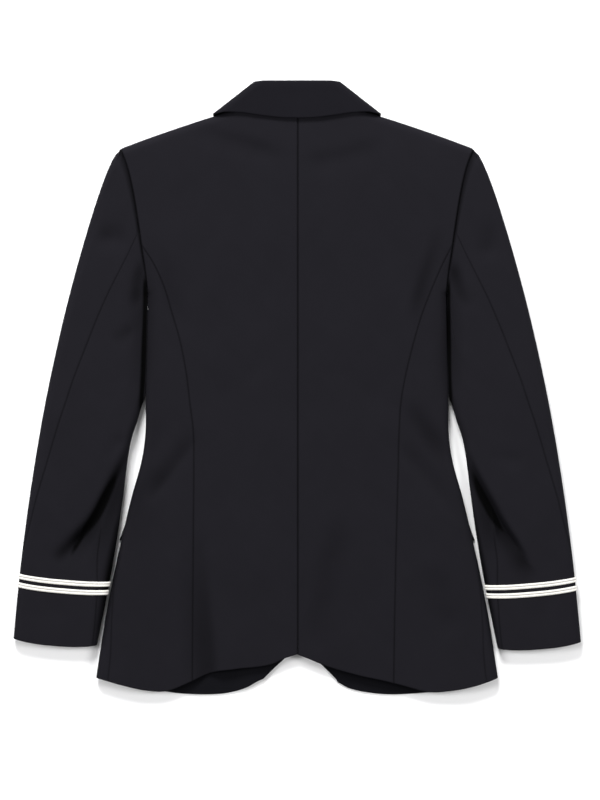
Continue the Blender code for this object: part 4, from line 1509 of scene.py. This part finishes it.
@dataclass
class Sleeve:
    """A two-piece sleeve with its two braids."""

    side: Side
    body: BodySheets
    cuff_inner_y: float
    cuff_outer_y: float
    cuff_bow: float = 4.5
    armhole_bow: float = -6.5
    bow_power: float = 2.6
    parallel_height: float = 200.0
    join_height: float = 318.0
    ring_step: float = 3.4
    forearm_top: float = 122.0
    forearm_fade: float = 26.0
    hind_arm: float = 0.6
    forearm: float = 0.55
    armhole_seam: float = 1.5
    least_seam_gap: float = 0.06
    clear: float = 0.5
    tip_clear: float = 0.2
    first_heights: tuple[float, ...] = (0.0, 0.3, 0.8, 1.6, 2.8)
    first_ring: float = 4.0
    samples: int = 12
    braid_columns: int = 170
    braid_rows: int = 15
    braid_top_column: int = 12
    braid_gap: float = 0.45
    rib_height: float = 1.0
    rib_base: float = 0.25
    rib_edge: float = 0.18
    groove_width: float = 0.075
    stitch_lift: float = 0.10
    stitch_step: float = 2.6

    def edge_points(self, edge: Callable, start: float, end: float) -> tuple[Array, Array]:
        """Return points of a sleeve edge from the cuff up, and their lengths.

        Args:
            edge: The edge's distance from the middle, as a function of y.
            start: The cuff's y.
            end: The top's y.

        Returns:
            The points and the lengths.
        """
        ys = np.linspace(start, end, EDGE_STEPS)
        points = np.column_stack((edge(ys), ys, np.zeros_like(ys)))
        return points, along(points)

    def length(self) -> float:
        """Return the length of the sleeve's inner edge."""
        return float(self.edge_points(FORM.sleeve_inner, self.cuff_inner_y, UNDERARM_Y)[1][-1])

    def trace(self, height: float) -> tuple[Array, Array]:
        """Return a ring's flat trace from its inner edge to its outer edge.

        Args:
            height: The ring's height up from the cuff.

        Returns:
            The trace's x and y.
        """
        inner, inner_lengths = self.edge_points(FORM.sleeve_inner, self.cuff_inner_y, UNDERARM_Y)
        outer, outer_lengths = self.edge_points(FORM.sleeve_outer, self.cuff_outer_y, TIP_Y)
        full = inner_lengths[-1]
        rise = max(height - self.parallel_height, 0) / (full - self.parallel_height)
        outer_height = height + rise ** 2 * (outer_lengths[-1] - full)
        a = sample(inner, inner_lengths, [height])[0]
        b = sample(outer, outer_lengths, [outer_height])[0]
        t = eased(0.0, 1.0)
        bow = self.cuff_bow + (self.armhole_bow - self.cuff_bow) * height / full
        arch = bow * (1 - np.abs(2 * t - 1) ** self.bow_power)
        span = np.hypot(b[0] - a[0], b[1] - a[1])
        x = a[0] + (b[0] - a[0]) * t + arch * (b[1] - a[1]) / span
        y = a[1] + (b[1] - a[1]) * t - arch * (b[0] - a[0]) / span
        return self.side.value * x, y

    def loop(self, height: float) -> tuple[Array, float]:
        """Return a whole ring from the forearm seam, and the length to the hind-arm seam.

        Args:
            height: The ring's height up from the cuff.

        Returns:
            The ring's points and that length.
        """
        x, y = self.trace(height)
        upper, lower = (np.column_stack((x, y, FORM.surface_z(x, y, layer, True)))
                        for layer in Layer)
        inset = float(Curve(FOREARM_INSET)(height))
        lengths = along(upper)
        loop = np.concatenate((cut_path(upper, inset, lengths[-1]), lower[::-1][1:],
                               cut_path(upper, 0.0, inset)[1:]))
        outside = np.abs(upper[:, 0]) - Curve(HIND_ARM)(upper[:, 1])
        crossed = np.nonzero(outside > 0)[0]
        seam = lengths[-1]
        if len(crossed):
            i = crossed[0]
            seam = np.interp(0, (outside[i - 1], outside[i]), (lengths[i - 1], lengths[i]))
        return loop, float(seam - inset)

    def forearm_shows(self, height: Array | float) -> Array:
        """Return 1 where the forearm seam shows, falling to 0 above the lower arm."""
        return 1 - smooth_step((np.asarray(height) - self.forearm_top) / self.forearm_fade)

    def stretches(self, height: float) -> tuple[Array, Array]:
        """Return the under and top stretches of a ring, from seam to seam.

        Args:
            height: The ring's height up from the cuff.

        Returns:
            The points of both stretches.
        """
        loop, seam = self.loop(height)
        gap = SEAM_GAP / 2
        shows = float(self.forearm_shows(height))
        near = gap * (self.least_seam_gap + (1 - self.least_seam_gap) * shows)
        return (cut_path(loop, near, seam - gap),
                cut_path(loop, seam + gap, along(loop)[-1] - near))

    def armhole(self) -> tuple[Array, Array]:
        """Return the ring that joins the body, as an under and a top stretch.

        Returns:
            The points of both stretches.
        """
        shift = np.array((self.side.value * SEAM_GAP, 0, 0))
        high = TIP_Y - self.tip_clear
        under = self.body.upper_end(FOREARM_TOP_Y - TINY, HIND_ARM_TOP_Y)[::-1]
        upper = self.body.upper_end(HIND_ARM_TOP_Y - TINY, high)[::-1]
        tip = (self.body.back.outer[0, -1] + self.body.front.outer[0, 0]) / 2
        lower = self.body.lower_end(UNDERARM_Y + self.clear, high)
        crotch = (self.body.side_back.outer[self.crotch_row(), -1] + lower[-1]) / 2
        rest = self.body.upper_end(UNDERARM_Y + self.clear, FOREARM_TOP_Y)[::-1]
        top = np.concatenate((upper, tip[None], lower, crotch[None], rest))
        return under + shift, top + shift

    def crotch_row(self) -> int:
        """Return the side-back's row at the underarm."""
        return min(range(len(self.body.side_levels)),
                   key=lambda k: abs(self.body.side_levels[k] - UNDERARM_Y))

    @staticmethod
    def matched(row: Array, lengths: Array, joint: Array) -> Array:
        """Match a ring's points with the armhole so that both folds fall together.

        Args:
            row: The ring's points.
            lengths: The ring's lengths.
            joint: The armhole's points.

        Returns:
            For each ring point its length along the armhole.
        """
        marks = along(joint)
        away, joint_away = np.abs(row[:, 0]), np.abs(joint[:, 0])
        folds = ((away.argmax(), joint_away.argmax()), (away.argmin(), joint_away.argmin()))
        knots = sorted({(0.0, 0.0), (float(lengths[-1]), float(marks[-1]))}
                       | {(float(lengths[i]), float(marks[j])) for i, j in folds})
        return np.interp(lengths, [k[0] for k in knots], [k[1] for k in knots])

    def heights(self) -> list[float]:
        """Return the rings' heights from the cuff to the armhole.

        Returns:
            The heights, from the cuff up.
        """
        full = self.length()
        count = round((full - self.first_ring) / self.ring_step)
        return list(self.first_heights) + list(np.linspace(self.first_ring, full, count + 1))

    def build(self, shop: Workshop) -> None:
        """Build and enter both sleeve panels, the braids and their stitches.

        Args:
            shop: The finishes.
        """
        heights = self.heights()
        rings = [self.stretches(height) for height in heights]
        forearm = self.forearm * self.forearm_shows(heights)
        panels = (("undersleeve", 1, forearm, self.hind_arm),
                  ("topsleeve", -1, self.hind_arm, forearm))
        for index, (name, outward, first, last) in enumerate(panels):
            columns = max(SPREAD.columns(ring[index]) for ring in rings[::self.samples])
            grid, _, lengths = SPREAD.lay_rows([ring[index] for ring in rings], columns)
            self.join(grid, lengths, heights, self.armhole()[index], name == "undersleeve")
            shop.panel(name, self.side, CLOTHWORK.panel(grid, {
                End.FIRST_COLUMN: first, End.LAST_COLUMN: last,
                End.LAST_ROW: self.armhole_seam}, outward))
        for band in BRAID_BANDS:
            self.build_braid(shop, band)

    def join(self, grid: Array, lengths: Array, heights: Sequence[float], joint: Array,
             ease: bool) -> None:
        """Pull a panel's upper rings onto the armhole, more the nearer they lie to it.

        Args:
            grid: The panel's points, which are moved.
            lengths: The lengths along its rings.
            heights: The rings' heights.
            joint: The armhole's points.
            ease: True where the pull changes slowly along the ring.
        """
        last = grid[-1].copy()
        pull = sample(joint, along(joint), self.matched(last, lengths[-1], joint)) - last
        if ease:
            pull = eased_pull(pull)
        for k, height in enumerate(heights):
            rise = (height - self.join_height) / (heights[-1] - self.join_height)
            places = self.matched(grid[k], lengths[k], last)
            grid[k] += float(smooth_step(rise)) * sample(pull, lengths[-1], places)
        grid[..., 2] = np.maximum(grid[..., 2], 0.0)

    def band_rows(self, band: Band, shares: Array) -> Array:
        """Return closed rings of sleeve points at shares of a band's width.

        Args:
            band: The braid's band.
            shares: Shares from the lower edge to the upper.

        Returns:
            The rings, row by row.
        """
        loops = [self.loop(band.low + (band.high - band.low) * share)[0] for share in shares]
        return np.array([SPREAD.lay(np.concatenate((loop, loop[:1])), self.braid_columns)[0][:-1]
                         for loop in loops])

    def build_braid(self, shop: Workshop, band: Band) -> None:
        """Build a braid: two cord ribs side by side, and the stitches at its edges.

        Args:
            shop: The finishes.
            band: The braid's band.
        """
        shares = eased(0.0, 1.0, self.braid_rows)
        rows = self.band_rows(band, shares)
        across = unit(np.roll(rows, -1, axis=1) - np.roll(rows, 1, axis=1))
        normals = unit(np.cross(across, down_ways(rows)))
        if normals[len(shares) // 2, self.braid_top_column, 2] < 0:
            normals = -normals
        crown = np.sqrt(np.abs(np.sin(2 * np.pi * shares)))
        ribs = self.rib_base + (1 - self.rib_base) * crown
        ribs[0] = ribs[-1] = self.rib_edge
        far = rows + normals * (self.braid_gap + self.rib_height * ribs)[:, None, None]
        near = rows + normals * self.braid_gap
        run = np.linalg.norm(np.roll(rows, -1, axis=1) - rows, axis=2)
        lengths = np.cumsum(run, axis=1) - run
        # The groove between the ribs goes into the sheet's shade, which the braid's finish paints
        # darker.
        groove = np.exp(-((shares - 0.5) / self.groove_width) ** 2)
        heights, shade = (np.broadcast_to(values[:, None], lengths.shape)
                          for values in (shares * (band.high - band.low), groove))
        sheet = Sheet(far, near, np.stack((lengths, heights), axis=-1), shade,
                      np.zeros(lengths.shape))
        tail = "%s_%s" % (band.name, self.side.word)
        thing = sheet_mesh("braid_cord_" + tail, sheet, ring=True)
        shop.enter(thing, shop.braid, "braid", ["braid_" + tail])
        edges = (rows + normals * (self.braid_gap + self.stitch_lift))[[0, -1]]
        stitches = StitchRow("braid_stitches_" + tail, step=self.stitch_step,
                             length=0.0012, radius=0.00022, slant=0.9)
        shop.enter(stitches.build(edges, shop.white_thread), shop.white_thread, "braid")


@dataclass
class StitchRow:
    """Short stitches at even steps along closed lines, each slanted from its line.

    The step is in millimetres, the length and the radius are in metres.
    """

    name: str
    step: float
    length: float
    radius: float
    slant: float
    thread_sides: int = 6

    def lines(self, loops: Sequence[Array]) -> bpy.types.Object:
        """Return closed lines as one mesh of edges.

        Args:
            loops: The lines, in millimetres.

        Returns:
            The object.
        """
        points, edges = [], []
        for loop in loops:
            start, count = len(points), len(loop)
            points += (loop * MM).tolist()
            edges += [(start + i, start + (i + 1) % count) for i in range(count)]
        data = bpy.data.meshes.new(self.name)
        data.from_pydata(points, edges, [])
        return placed(self.name, data)

    def tree(self, thread: bpy.types.Material) -> bpy.types.NodeTree:
        """Return the node tree that lays a stitch at every step of its lines.

        Args:
            thread: The stitches' material.

        Returns:
            The tree.
        """
        tree = bpy.data.node_groups.new(self.name + " tree", "GeometryNodeTree")
        face, shape = tree.interface, "NodeSocketGeometry"
        face.new_socket("Geometry", in_out="INPUT", socket_type=shape)
        for label in ("Step", "Stitch Length", "Thread Radius", "Slant"):
            face.new_socket(label, in_out="INPUT", socket_type="NodeSocketFloat")
        face.new_socket("Geometry", in_out="OUTPUT", socket_type=shape)

        def add(kind: str, inputs: dict | None = None, **settings: object) -> Socket:
            """Return the first output of a new node."""
            return add_node(tree, kind, inputs or {}, **settings).outputs[0]

        given = tree.nodes.new("NodeGroupInput").outputs
        line = add("GeometryNodeMeshToCurve", {"Mesh": given["Geometry"]})
        even = add("GeometryNodeResampleCurve", {"Curve": line, "Length": given["Step"]},
                   mode="LENGTH")
        rod = add("GeometryNodeMeshCylinder", {
            "Vertices": self.thread_sides, "Radius": given["Thread Radius"],
            "Depth": given["Stitch Length"]})
        turn = add("FunctionNodeAlignRotationToVector",
                   {"Vector": add("GeometryNodeInputTangent")}, axis="Z")
        slant = add("ShaderNodeCombineXYZ", {"Y": given["Slant"]})
        lean = add("FunctionNodeRotateRotation", {"Rotation": turn, "Rotate By": slant},
                   rotation_space="LOCAL")
        spots = add("GeometryNodeInstanceOnPoints",
                    {"Points": even, "Instance": rod, "Rotation": lean})
        real = add("GeometryNodeRealizeInstances", {"Geometry": spots})
        dressed = add("GeometryNodeSetMaterial", {"Geometry": real, "Material": thread})
        add_node(tree, "NodeGroupOutput", {"Geometry": dressed})
        return tree

    def build(self, loops: Sequence[Array], thread: bpy.types.Material) -> bpy.types.Object:
        """Lay the stitches and return them as one plain mesh.

        Args:
            loops: The closed lines that they follow, in millimetres.
            thread: The stitches' material.

        Returns:
            The stitches.
        """
        thing = self.lines(loops)
        maker = thing.modifiers.new("stitches", "NODES")
        maker.node_group = self.tree(thread)
        values = {"Step": self.step * MM, "Stitch Length": self.length,
                  "Thread Radius": self.radius, "Slant": self.slant}
        for socket in maker.node_group.interface.items_tree:
            if socket.in_out == "INPUT" and socket.name in values:
                maker[socket.identifier] = values[socket.name]
        apply_modifiers(thing)
        return thing


class CollarRow(NamedTuple):
    """One row of a collar: its share from the leaf edge to the fold, and its heights."""

    share: float
    top: float
    low: float


FALL_ROWS = table(
    CollarRow,
    (0.0, 25.4, 0.0), (0.3, 24.7, 0.0), (0.65, 23.8, 0.0), (0.9, 23.0, 0.0),
    (0.97, 21.6, 0.0), (1.0, 18.0, 0.0))
STAND_ROWS = table(CollarRow, (0.0, 20.2, 2.6), (0.5, 19.6, 2.6), (1.0, 18.8, 2.6))


@dataclass
class Collar:
    """A collar band from one front end round the back of the neck to the other."""

    part: str
    rows: Sequence[CollarRow]
    corner: tuple[float, float]
    fold: tuple[float, float]
    fold_y: float
    front_low: tuple[float, float]
    front_high: tuple[float, float]
    reach_top: float
    reach_low: float
    middle: float
    back_columns: int
    front_columns: int
    leaf: bool
    rests_on: str
    corner_width: float = 12.0
    corner_power: int = 4
    fine: int = 26
    wave_height: float = 0.35
    wave_pace: float = 17.0

    def half(self, row: CollarRow, side: Side) -> tuple[Array, Array]:
        """Return half a row: across the back, round the slanted end, and down the front.

        Args:
            row: The row.
            side: The wearer's side.

        Returns:
            The points across the back and down the front.
        """
        share = row.share
        turn_x, turn_y = [a + (b - a) * share for a, b in zip(self.corner, self.fold)]
        end_x, end_y = [a + (b - a) * share for a, b in zip(self.front_low, self.front_high)]
        x = eased(0.0, turn_x)
        dip = 0.0
        if self.leaf:
            dip = Curve(LEAF_EDGE)(x * self.corner[0] / turn_x) - self.corner[1]
        rise = smooth_step((turn_x - x) / self.corner_width) * (self.fold_y - self.fold[1])
        y = turn_y + dip * (1 - share) + rise * share ** self.corner_power
        swell = rounded(turn_x - x, self.reach_top)
        upper = np.column_stack((side.value * x, y,
                                 self.middle + swell * (row.top - self.middle)))
        t = eased(0.0, 1.0)
        swell = rounded(np.hypot(end_x - turn_x, end_y - turn_y) * t, self.reach_low)
        lower = np.column_stack((side.value * (turn_x + (end_x - turn_x) * t),
                                 turn_y + (end_y - turn_y) * t,
                                 self.middle - swell * (self.middle - row.low)))
        return upper, lower

    def fine_rows(self) -> list[CollarRow]:
        """Return rows between the named ones, closer together at both ends.

        Returns:
            The rows.
        """
        tops = Curve([Row(r.share, r.top) for r in self.rows])
        lows = Curve([Row(r.share, r.low) for r in self.rows])
        return [CollarRow(float(s), float(tops(s)), float(lows(s)))
                for s in eased(0.0, 1.0, self.fine)]

    def build(self, shop: Workshop) -> None:
        """Build and enter the band.

        Args:
            shop: The finishes.
        """
        grid, across = [], []
        for row in self.fine_rows():
            (up_left, low_left), (up_right, low_right) = (self.half(row, side) for side in Side)
            parts = (SPREAD.lay(low_left[::-1], self.front_columns),
                     SPREAD.lay(np.concatenate((up_left[::-1], up_right[1:])), self.back_columns),
                     SPREAD.lay(low_right, self.front_columns))
            for found, k in ((grid, 0), (across, 1)):
                found.append(np.concatenate([part[k][i > 0:] for i, part in enumerate(parts)]))
        lengths = np.array([along(row) for row in grid])
        grid = np.array(grid)
        if self.leaf:
            fade = np.linspace(1, 0, len(grid))[:, None]
            grid[..., 2] += self.wave_height * np.sin(grid[..., 0] / self.wave_pace) * fade
        sheet = CLOTHWORK.thicken(grid, np.array(across), lengths, {}, 1)
        shop.panel(self.part, None, sheet, self.rests_on, facing=True)


@dataclass
class Lapel:
    """A lapel, turned back along the roll line and lying on the floor."""

    side: Side
    start_y: float
    top_y: float = 284.5
    tip_drop: float = 38.0
    rows: int = 70
    columns: int = 18
    wave_height: float = 0.12
    wave_pace: float = 19.0

    def build(self, shop: Workshop) -> None:
        """Build and enter the lapel.

        Args:
            shop: The finishes.
        """
        width = Curve(LAPEL_WIDTH)
        grid = []
        for v in eased(0, 1, self.rows):
            t = eased(0, 1, self.columns)
            y = self.start_y + v * (self.top_y - self.tip_drop * t - self.start_y)
            x = FORM.front_edge_x(y, self.side) + self.side.value * t * width(y)
            lift = self.wave_height * np.sin(y / self.wave_pace) ** 2 * np.sin(np.pi * t)
            grid.append(np.column_stack((x, y, lift)))
        shop.panel("lapel", self.side, CLOTHWORK.panel(grid, {}, -1), facing=True)


@dataclass
class PocketFlap:
    """A pocket flap on the hidden side, whose end stands just past the side edge."""

    side: Side
    inner: float = 92.0
    past_edge: float = 2.4
    tuck: float = -3.0
    top_y: float = -139.5
    depth: float = 41.0
    rows: int = 24
    columns: int = 46
    wave_height: float = 0.10
    wave_pace: float = 13.0

    def build(self, shop: Workshop) -> None:
        """Build and enter the flap.

        Args:
            shop: The finishes.
        """
        grid = []
        for v in eased(0, 1, self.rows):
            y = self.top_y - self.depth * v
            outer = float(FORM.body_edge(y)) + self.tuck + (self.past_edge - self.tuck) * v
            x = eased(self.inner, outer, self.columns)
            lift = self.wave_height * np.sin(x / self.wave_pace) ** 2 * np.sin(np.pi * v)
            grid.append(np.column_stack((self.side.value * x, np.full(x.shape, y), lift)))
        shop.panel("pocket_flap", self.side, CLOTHWORK.panel(grid, {}, -1))


class ProfileRow(NamedTuple):
    """One ring of a turned piece."""

    radius: float
    height: float


BUTTON_PROFILE = table(
    ProfileRow,
    (0.0, 1.25), (5.0, 1.2), (5.9, 0.9), (6.6, 0.35), (7.4, 0.06), (8.2, 0.0), (8.9, 0.2),
    (9.35, 0.7), (9.5, 1.4), (9.5, 2.4), (9.2, 3.2), (8.4, 3.75), (7.2, 4.0), (0.0, 4.0))


@dataclass
class Button:
    """A four-hole button that lies face down under the front."""

    name: str
    y: float
    x: float = CENTRE_FRONT_X
    sides: int = 56
    hole_spacing: float = 1.7
    hole_radius: float = 0.85
    hole_sides: int = 18
    hole_depth: float = 8.0
    hole_height: float = 2.0
    thread_radius: float = 0.35
    thread_sides: int = 10
    thread_height: float = 1.0
    sharp: float = 0.7

    def turned(self) -> bpy.types.Object:
        """Return the turned button, rim towards the floor.

        Returns:
            The button without its holes.
        """
        points, rings = [], []
        for row in BUTTON_PROFILE:
            angles = np.arange(self.sides if row.radius else 1) * 2 * math.pi / self.sides
            rings.append(len(points) + np.arange(len(angles)))
            points += [((self.x + row.radius * math.cos(a)) * MM,
                        (self.y + row.radius * math.sin(a)) * MM, row.height * MM)
                       for a in angles]
        faces = []
        for low, high in zip(rings, rings[1:]):
            for i in range(self.sides):
                k = (i + 1) % self.sides
                corners = [ring[j % len(ring)] for ring, j in ((low, i), (low, k), (high, k),
                                                               (high, i))]
                faces.append(list(dict.fromkeys(int(corner) for corner in corners)))
        data = bpy.data.meshes.new("button_turned_" + self.name)
        data.from_pydata(points, [], faces)
        return tidy_object("button_turned_" + self.name, data, self.sharp)

    def rods(self, name: str, radius: float, depth: float, sides: int, height: float,
             rows: Sequence[int], along_y: bool = False) -> bpy.types.Mesh:
        """Return rods beside the button's middle, upright or along y.

        Args:
            name: Name of the mesh.
            radius: The rods' radius.
            depth: Their length.
            sides: Their number of sides.
            height: The height of their middles.
            rows: How many hole spacings each row of rods lies along y from the middle.
            along_y: True where the rods lie along y.

        Returns:
            The mesh.
        """
        mesh = bmesh.new()
        for sx in (-1, 1):
            for sy in rows:
                made = bmesh.ops.create_cone(mesh, cap_ends=True, segments=sides,
                                             radius1=radius * MM, radius2=radius * MM,
                                             depth=depth * MM)["verts"]
                if along_y:
                    turn = Vector((0, 0, 1)).rotation_difference(Vector((0, 1, 0))).to_matrix()
                    bmesh.ops.rotate(mesh, verts=made, cent=(0, 0, 0), matrix=turn)
                place = Vector((self.x + sx * self.hole_spacing,
                                self.y + sy * self.hole_spacing, height)) * MM
                bmesh.ops.translate(mesh, verts=made, vec=place)
        data = bpy.data.meshes.new(name)
        mesh.to_mesh(data)
        mesh.free()
        return data

    def build(self, shop: Workshop) -> None:
        """Build and enter the button, with its four holes cut, and its thread.

        Args:
            shop: The finishes.
        """
        thing = self.turned()
        cutter = placed("drill", self.rods("drill", self.hole_radius, self.hole_depth,
                                           self.hole_sides, self.hole_height, (-1, 1)))
        cut = thing.modifiers.new("holes", "BOOLEAN")
        cut.operation, cut.object, cut.solver = "DIFFERENCE", cutter, "EXACT"
        apply_modifiers(thing)
        bpy.data.objects.remove(cutter)
        shop.enter(thing, shop.button, "button", ["button_" + self.name])
        name = "button_thread_" + self.name
        thread = self.rods(name, self.thread_radius, 2 * self.hole_spacing, self.thread_sides,
                           self.thread_height, (0,), True)
        shop.enter(tidy_object(name, thread), shop.navy_thread, "button")


@dataclass
class Buttonhole:
    """Whip stitches round a buttonhole on the right front's outer face."""

    name: str
    y: float
    length: float = 24.0
    height: float = 2.6
    lift: float = 0.25
    shift: float = -4.0
    steps: int = 90
    corner_power: float = 0.6

    def build(self, shop: Workshop) -> None:
        """Build and enter the stitches.

        Args:
            shop: The finishes.
        """
        angle = np.linspace(0, 2 * np.pi, self.steps, endpoint=False)
        across, rise = np.cos(angle), np.sin(angle)
        x = CENTRE_FRONT_X + self.shift + self.length / 2 * across
        y = self.y + self.height / 2 * np.sign(rise) * np.abs(rise) ** self.corner_power
        z = FORM.surface_z(x, y, Layer.LOWER) - self.lift
        row = StitchRow("buttonhole_stitches_" + self.name, step=0.55, length=0.0014,
                        radius=0.0002, slant=1.35)
        stitches = row.build([np.column_stack((x, y, z))], shop.navy_thread)
        shop.enter(stitches, shop.navy_thread, "facing")


class Light(NamedTuple):
    """A soft square light that faces the garment: metres and watts."""

    name: str
    place: tuple[float, float, float]
    size: float
    power: float


LIGHTS = table(
    Light,
    ("key", (-0.6, 2.9, 2.1), 1.1, 180.0), ("left", (-2.6, 0.2, 2.3), 1.2, 60.0),
    ("right", (2.6, 0.2, 2.3), 1.2, 60.0))


@dataclass
class Studio:
    """A pale floor, soft lights and a long lens straight above."""

    centre: tuple[float, float] = (0.0035, -0.0148)
    distance: float = 6.0
    view_height: float = 0.944
    sensor: float = 36.0
    floor_half: float = 3.0
    floor_z: float = -0.0004
    world_strength: float = 0.3

    def camera(self) -> None:
        """Set the camera straight above the garment."""
        data = bpy.data.cameras.new("camera")
        data.sensor_width = self.sensor
        data.lens = self.sensor * self.distance / self.view_height
        thing = placed("camera", data)
        thing.location = (*self.centre, self.distance)
        bpy.context.scene.camera = thing

    @staticmethod
    def light(light: Light) -> None:
        """Hang one light.

        Args:
            light: Its row of the table.
        """
        data = bpy.data.lights.new(light.name, "AREA")
        data.shape, data.size, data.energy = "SQUARE", light.size, light.power
        thing = placed(light.name, data)
        thing.location = light.place
        thing.rotation_mode = "QUATERNION"
        thing.rotation_quaternion = (-Vector(light.place)).to_track_quat("-Z", "Y")

    def floor(self) -> None:
        """Lay a pale floor."""
        shader = Shader("pale studio floor")
        grain = shader.noise(shader.place("Object"), 3.0, 2.0)
        tone = shader.mix(grain, (0.93, 0.93, 0.935, 1), (0.95, 0.95, 0.955, 1))
        material = shader.finish({"Base Color": tone, "Roughness": 0.9,
                                  "Specular IOR Level": 0.1})
        data = bpy.data.meshes.new("floor")
        corners = [(x * self.floor_half, y * self.floor_half, self.floor_z)
                   for x, y in ((-1, -1), (1, -1), (1, 1), (-1, 1))]
        data.from_pydata(corners, [], [(0, 1, 2, 3)])
        data.materials.append(material)
        placed("floor", data)

    def world(self) -> None:
        """Fill the room with soft light."""
        world = bpy.data.worlds.new("studio")
        world.use_nodes = True
        back = world.node_tree.nodes["Background"]
        back.inputs["Color"].default_value = (1.0, 1.0, 1.0, 1.0)
        back.inputs["Strength"].default_value = self.world_strength
        bpy.context.scene.world = world
        bpy.context.scene.view_settings.view_transform = "Standard"

    def build(self) -> None:
        """Set up the studio."""
        self.camera()
        self.floor()
        self.world()
        for light in LIGHTS:
            self.light(light)


def carried_over(shop: Workshop) -> None:
    """Give every CAD node that stays its proper finish.

    Args:
        shop: The finishes.
    """
    # Collar and lapel nodes take the darker copy of the suiting, which is painted shade.
    finishes = {"braid": shop.braid, "button": shop.button, "collar": shop.facing,
                "lapel": shop.facing}
    for name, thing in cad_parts.items():
        kind = next((word for word in finishes if word in name), "")
        for index in range(len(thing.data.materials)):
            thing.data.materials[index] = finishes.get(kind, shop.suiting)


def main() -> None:
    """Build the whole blazer in order."""
    logging.basicConfig(level=logging.INFO, format="%(message)s")
    Studio().build()
    shop = Workshop()
    for side, inner_y, outer_y in ((Side.LEFT, -304.0, -296.0), (Side.RIGHT, -308.0, -300.0)):
        body = Body(side).build(shop)
        Sleeve(side, body, cuff_inner_y=inner_y, cuff_outer_y=outer_y).build(shop)
        PocketFlap(side).build(shop)
    Lapel(Side.LEFT, start_y=68.0).build(shop)
    Lapel(Side.RIGHT, start_y=-34.0).build(shop)
    Collar(part="collar_fall", rows=FALL_ROWS, corner=(99.4, 322.0), fold=(50.0, 360.6),
           fold_y=361.6, front_low=(90.0, 266.0), front_high=(50.0, 287.0), reach_top=15.0,
           reach_low=12.0, middle=12.2, back_columns=96, front_columns=26, leaf=True,
           rests_on="back_cloth_left").build(shop)
    Collar(part="collar_stand", rows=STAND_ROWS, corner=(81.0, 329.8), fold=(47.5, 351.0),
           fold_y=355.6, front_low=(76.0, 328.4), front_high=(59.0, 331.0), reach_top=12.0,
           reach_low=9.0, middle=11.8, back_columns=76, front_columns=12, leaf=False,
           rests_on="collar_fall_cloth").build(shop)
    for name, height in (("upper", -38.0), ("lower", -135.0)):
        Button(name, height).build(shop)
        Buttonhole(name, height).build(shop)
    carried_over(shop)


if __name__ == "__main__":
    main()
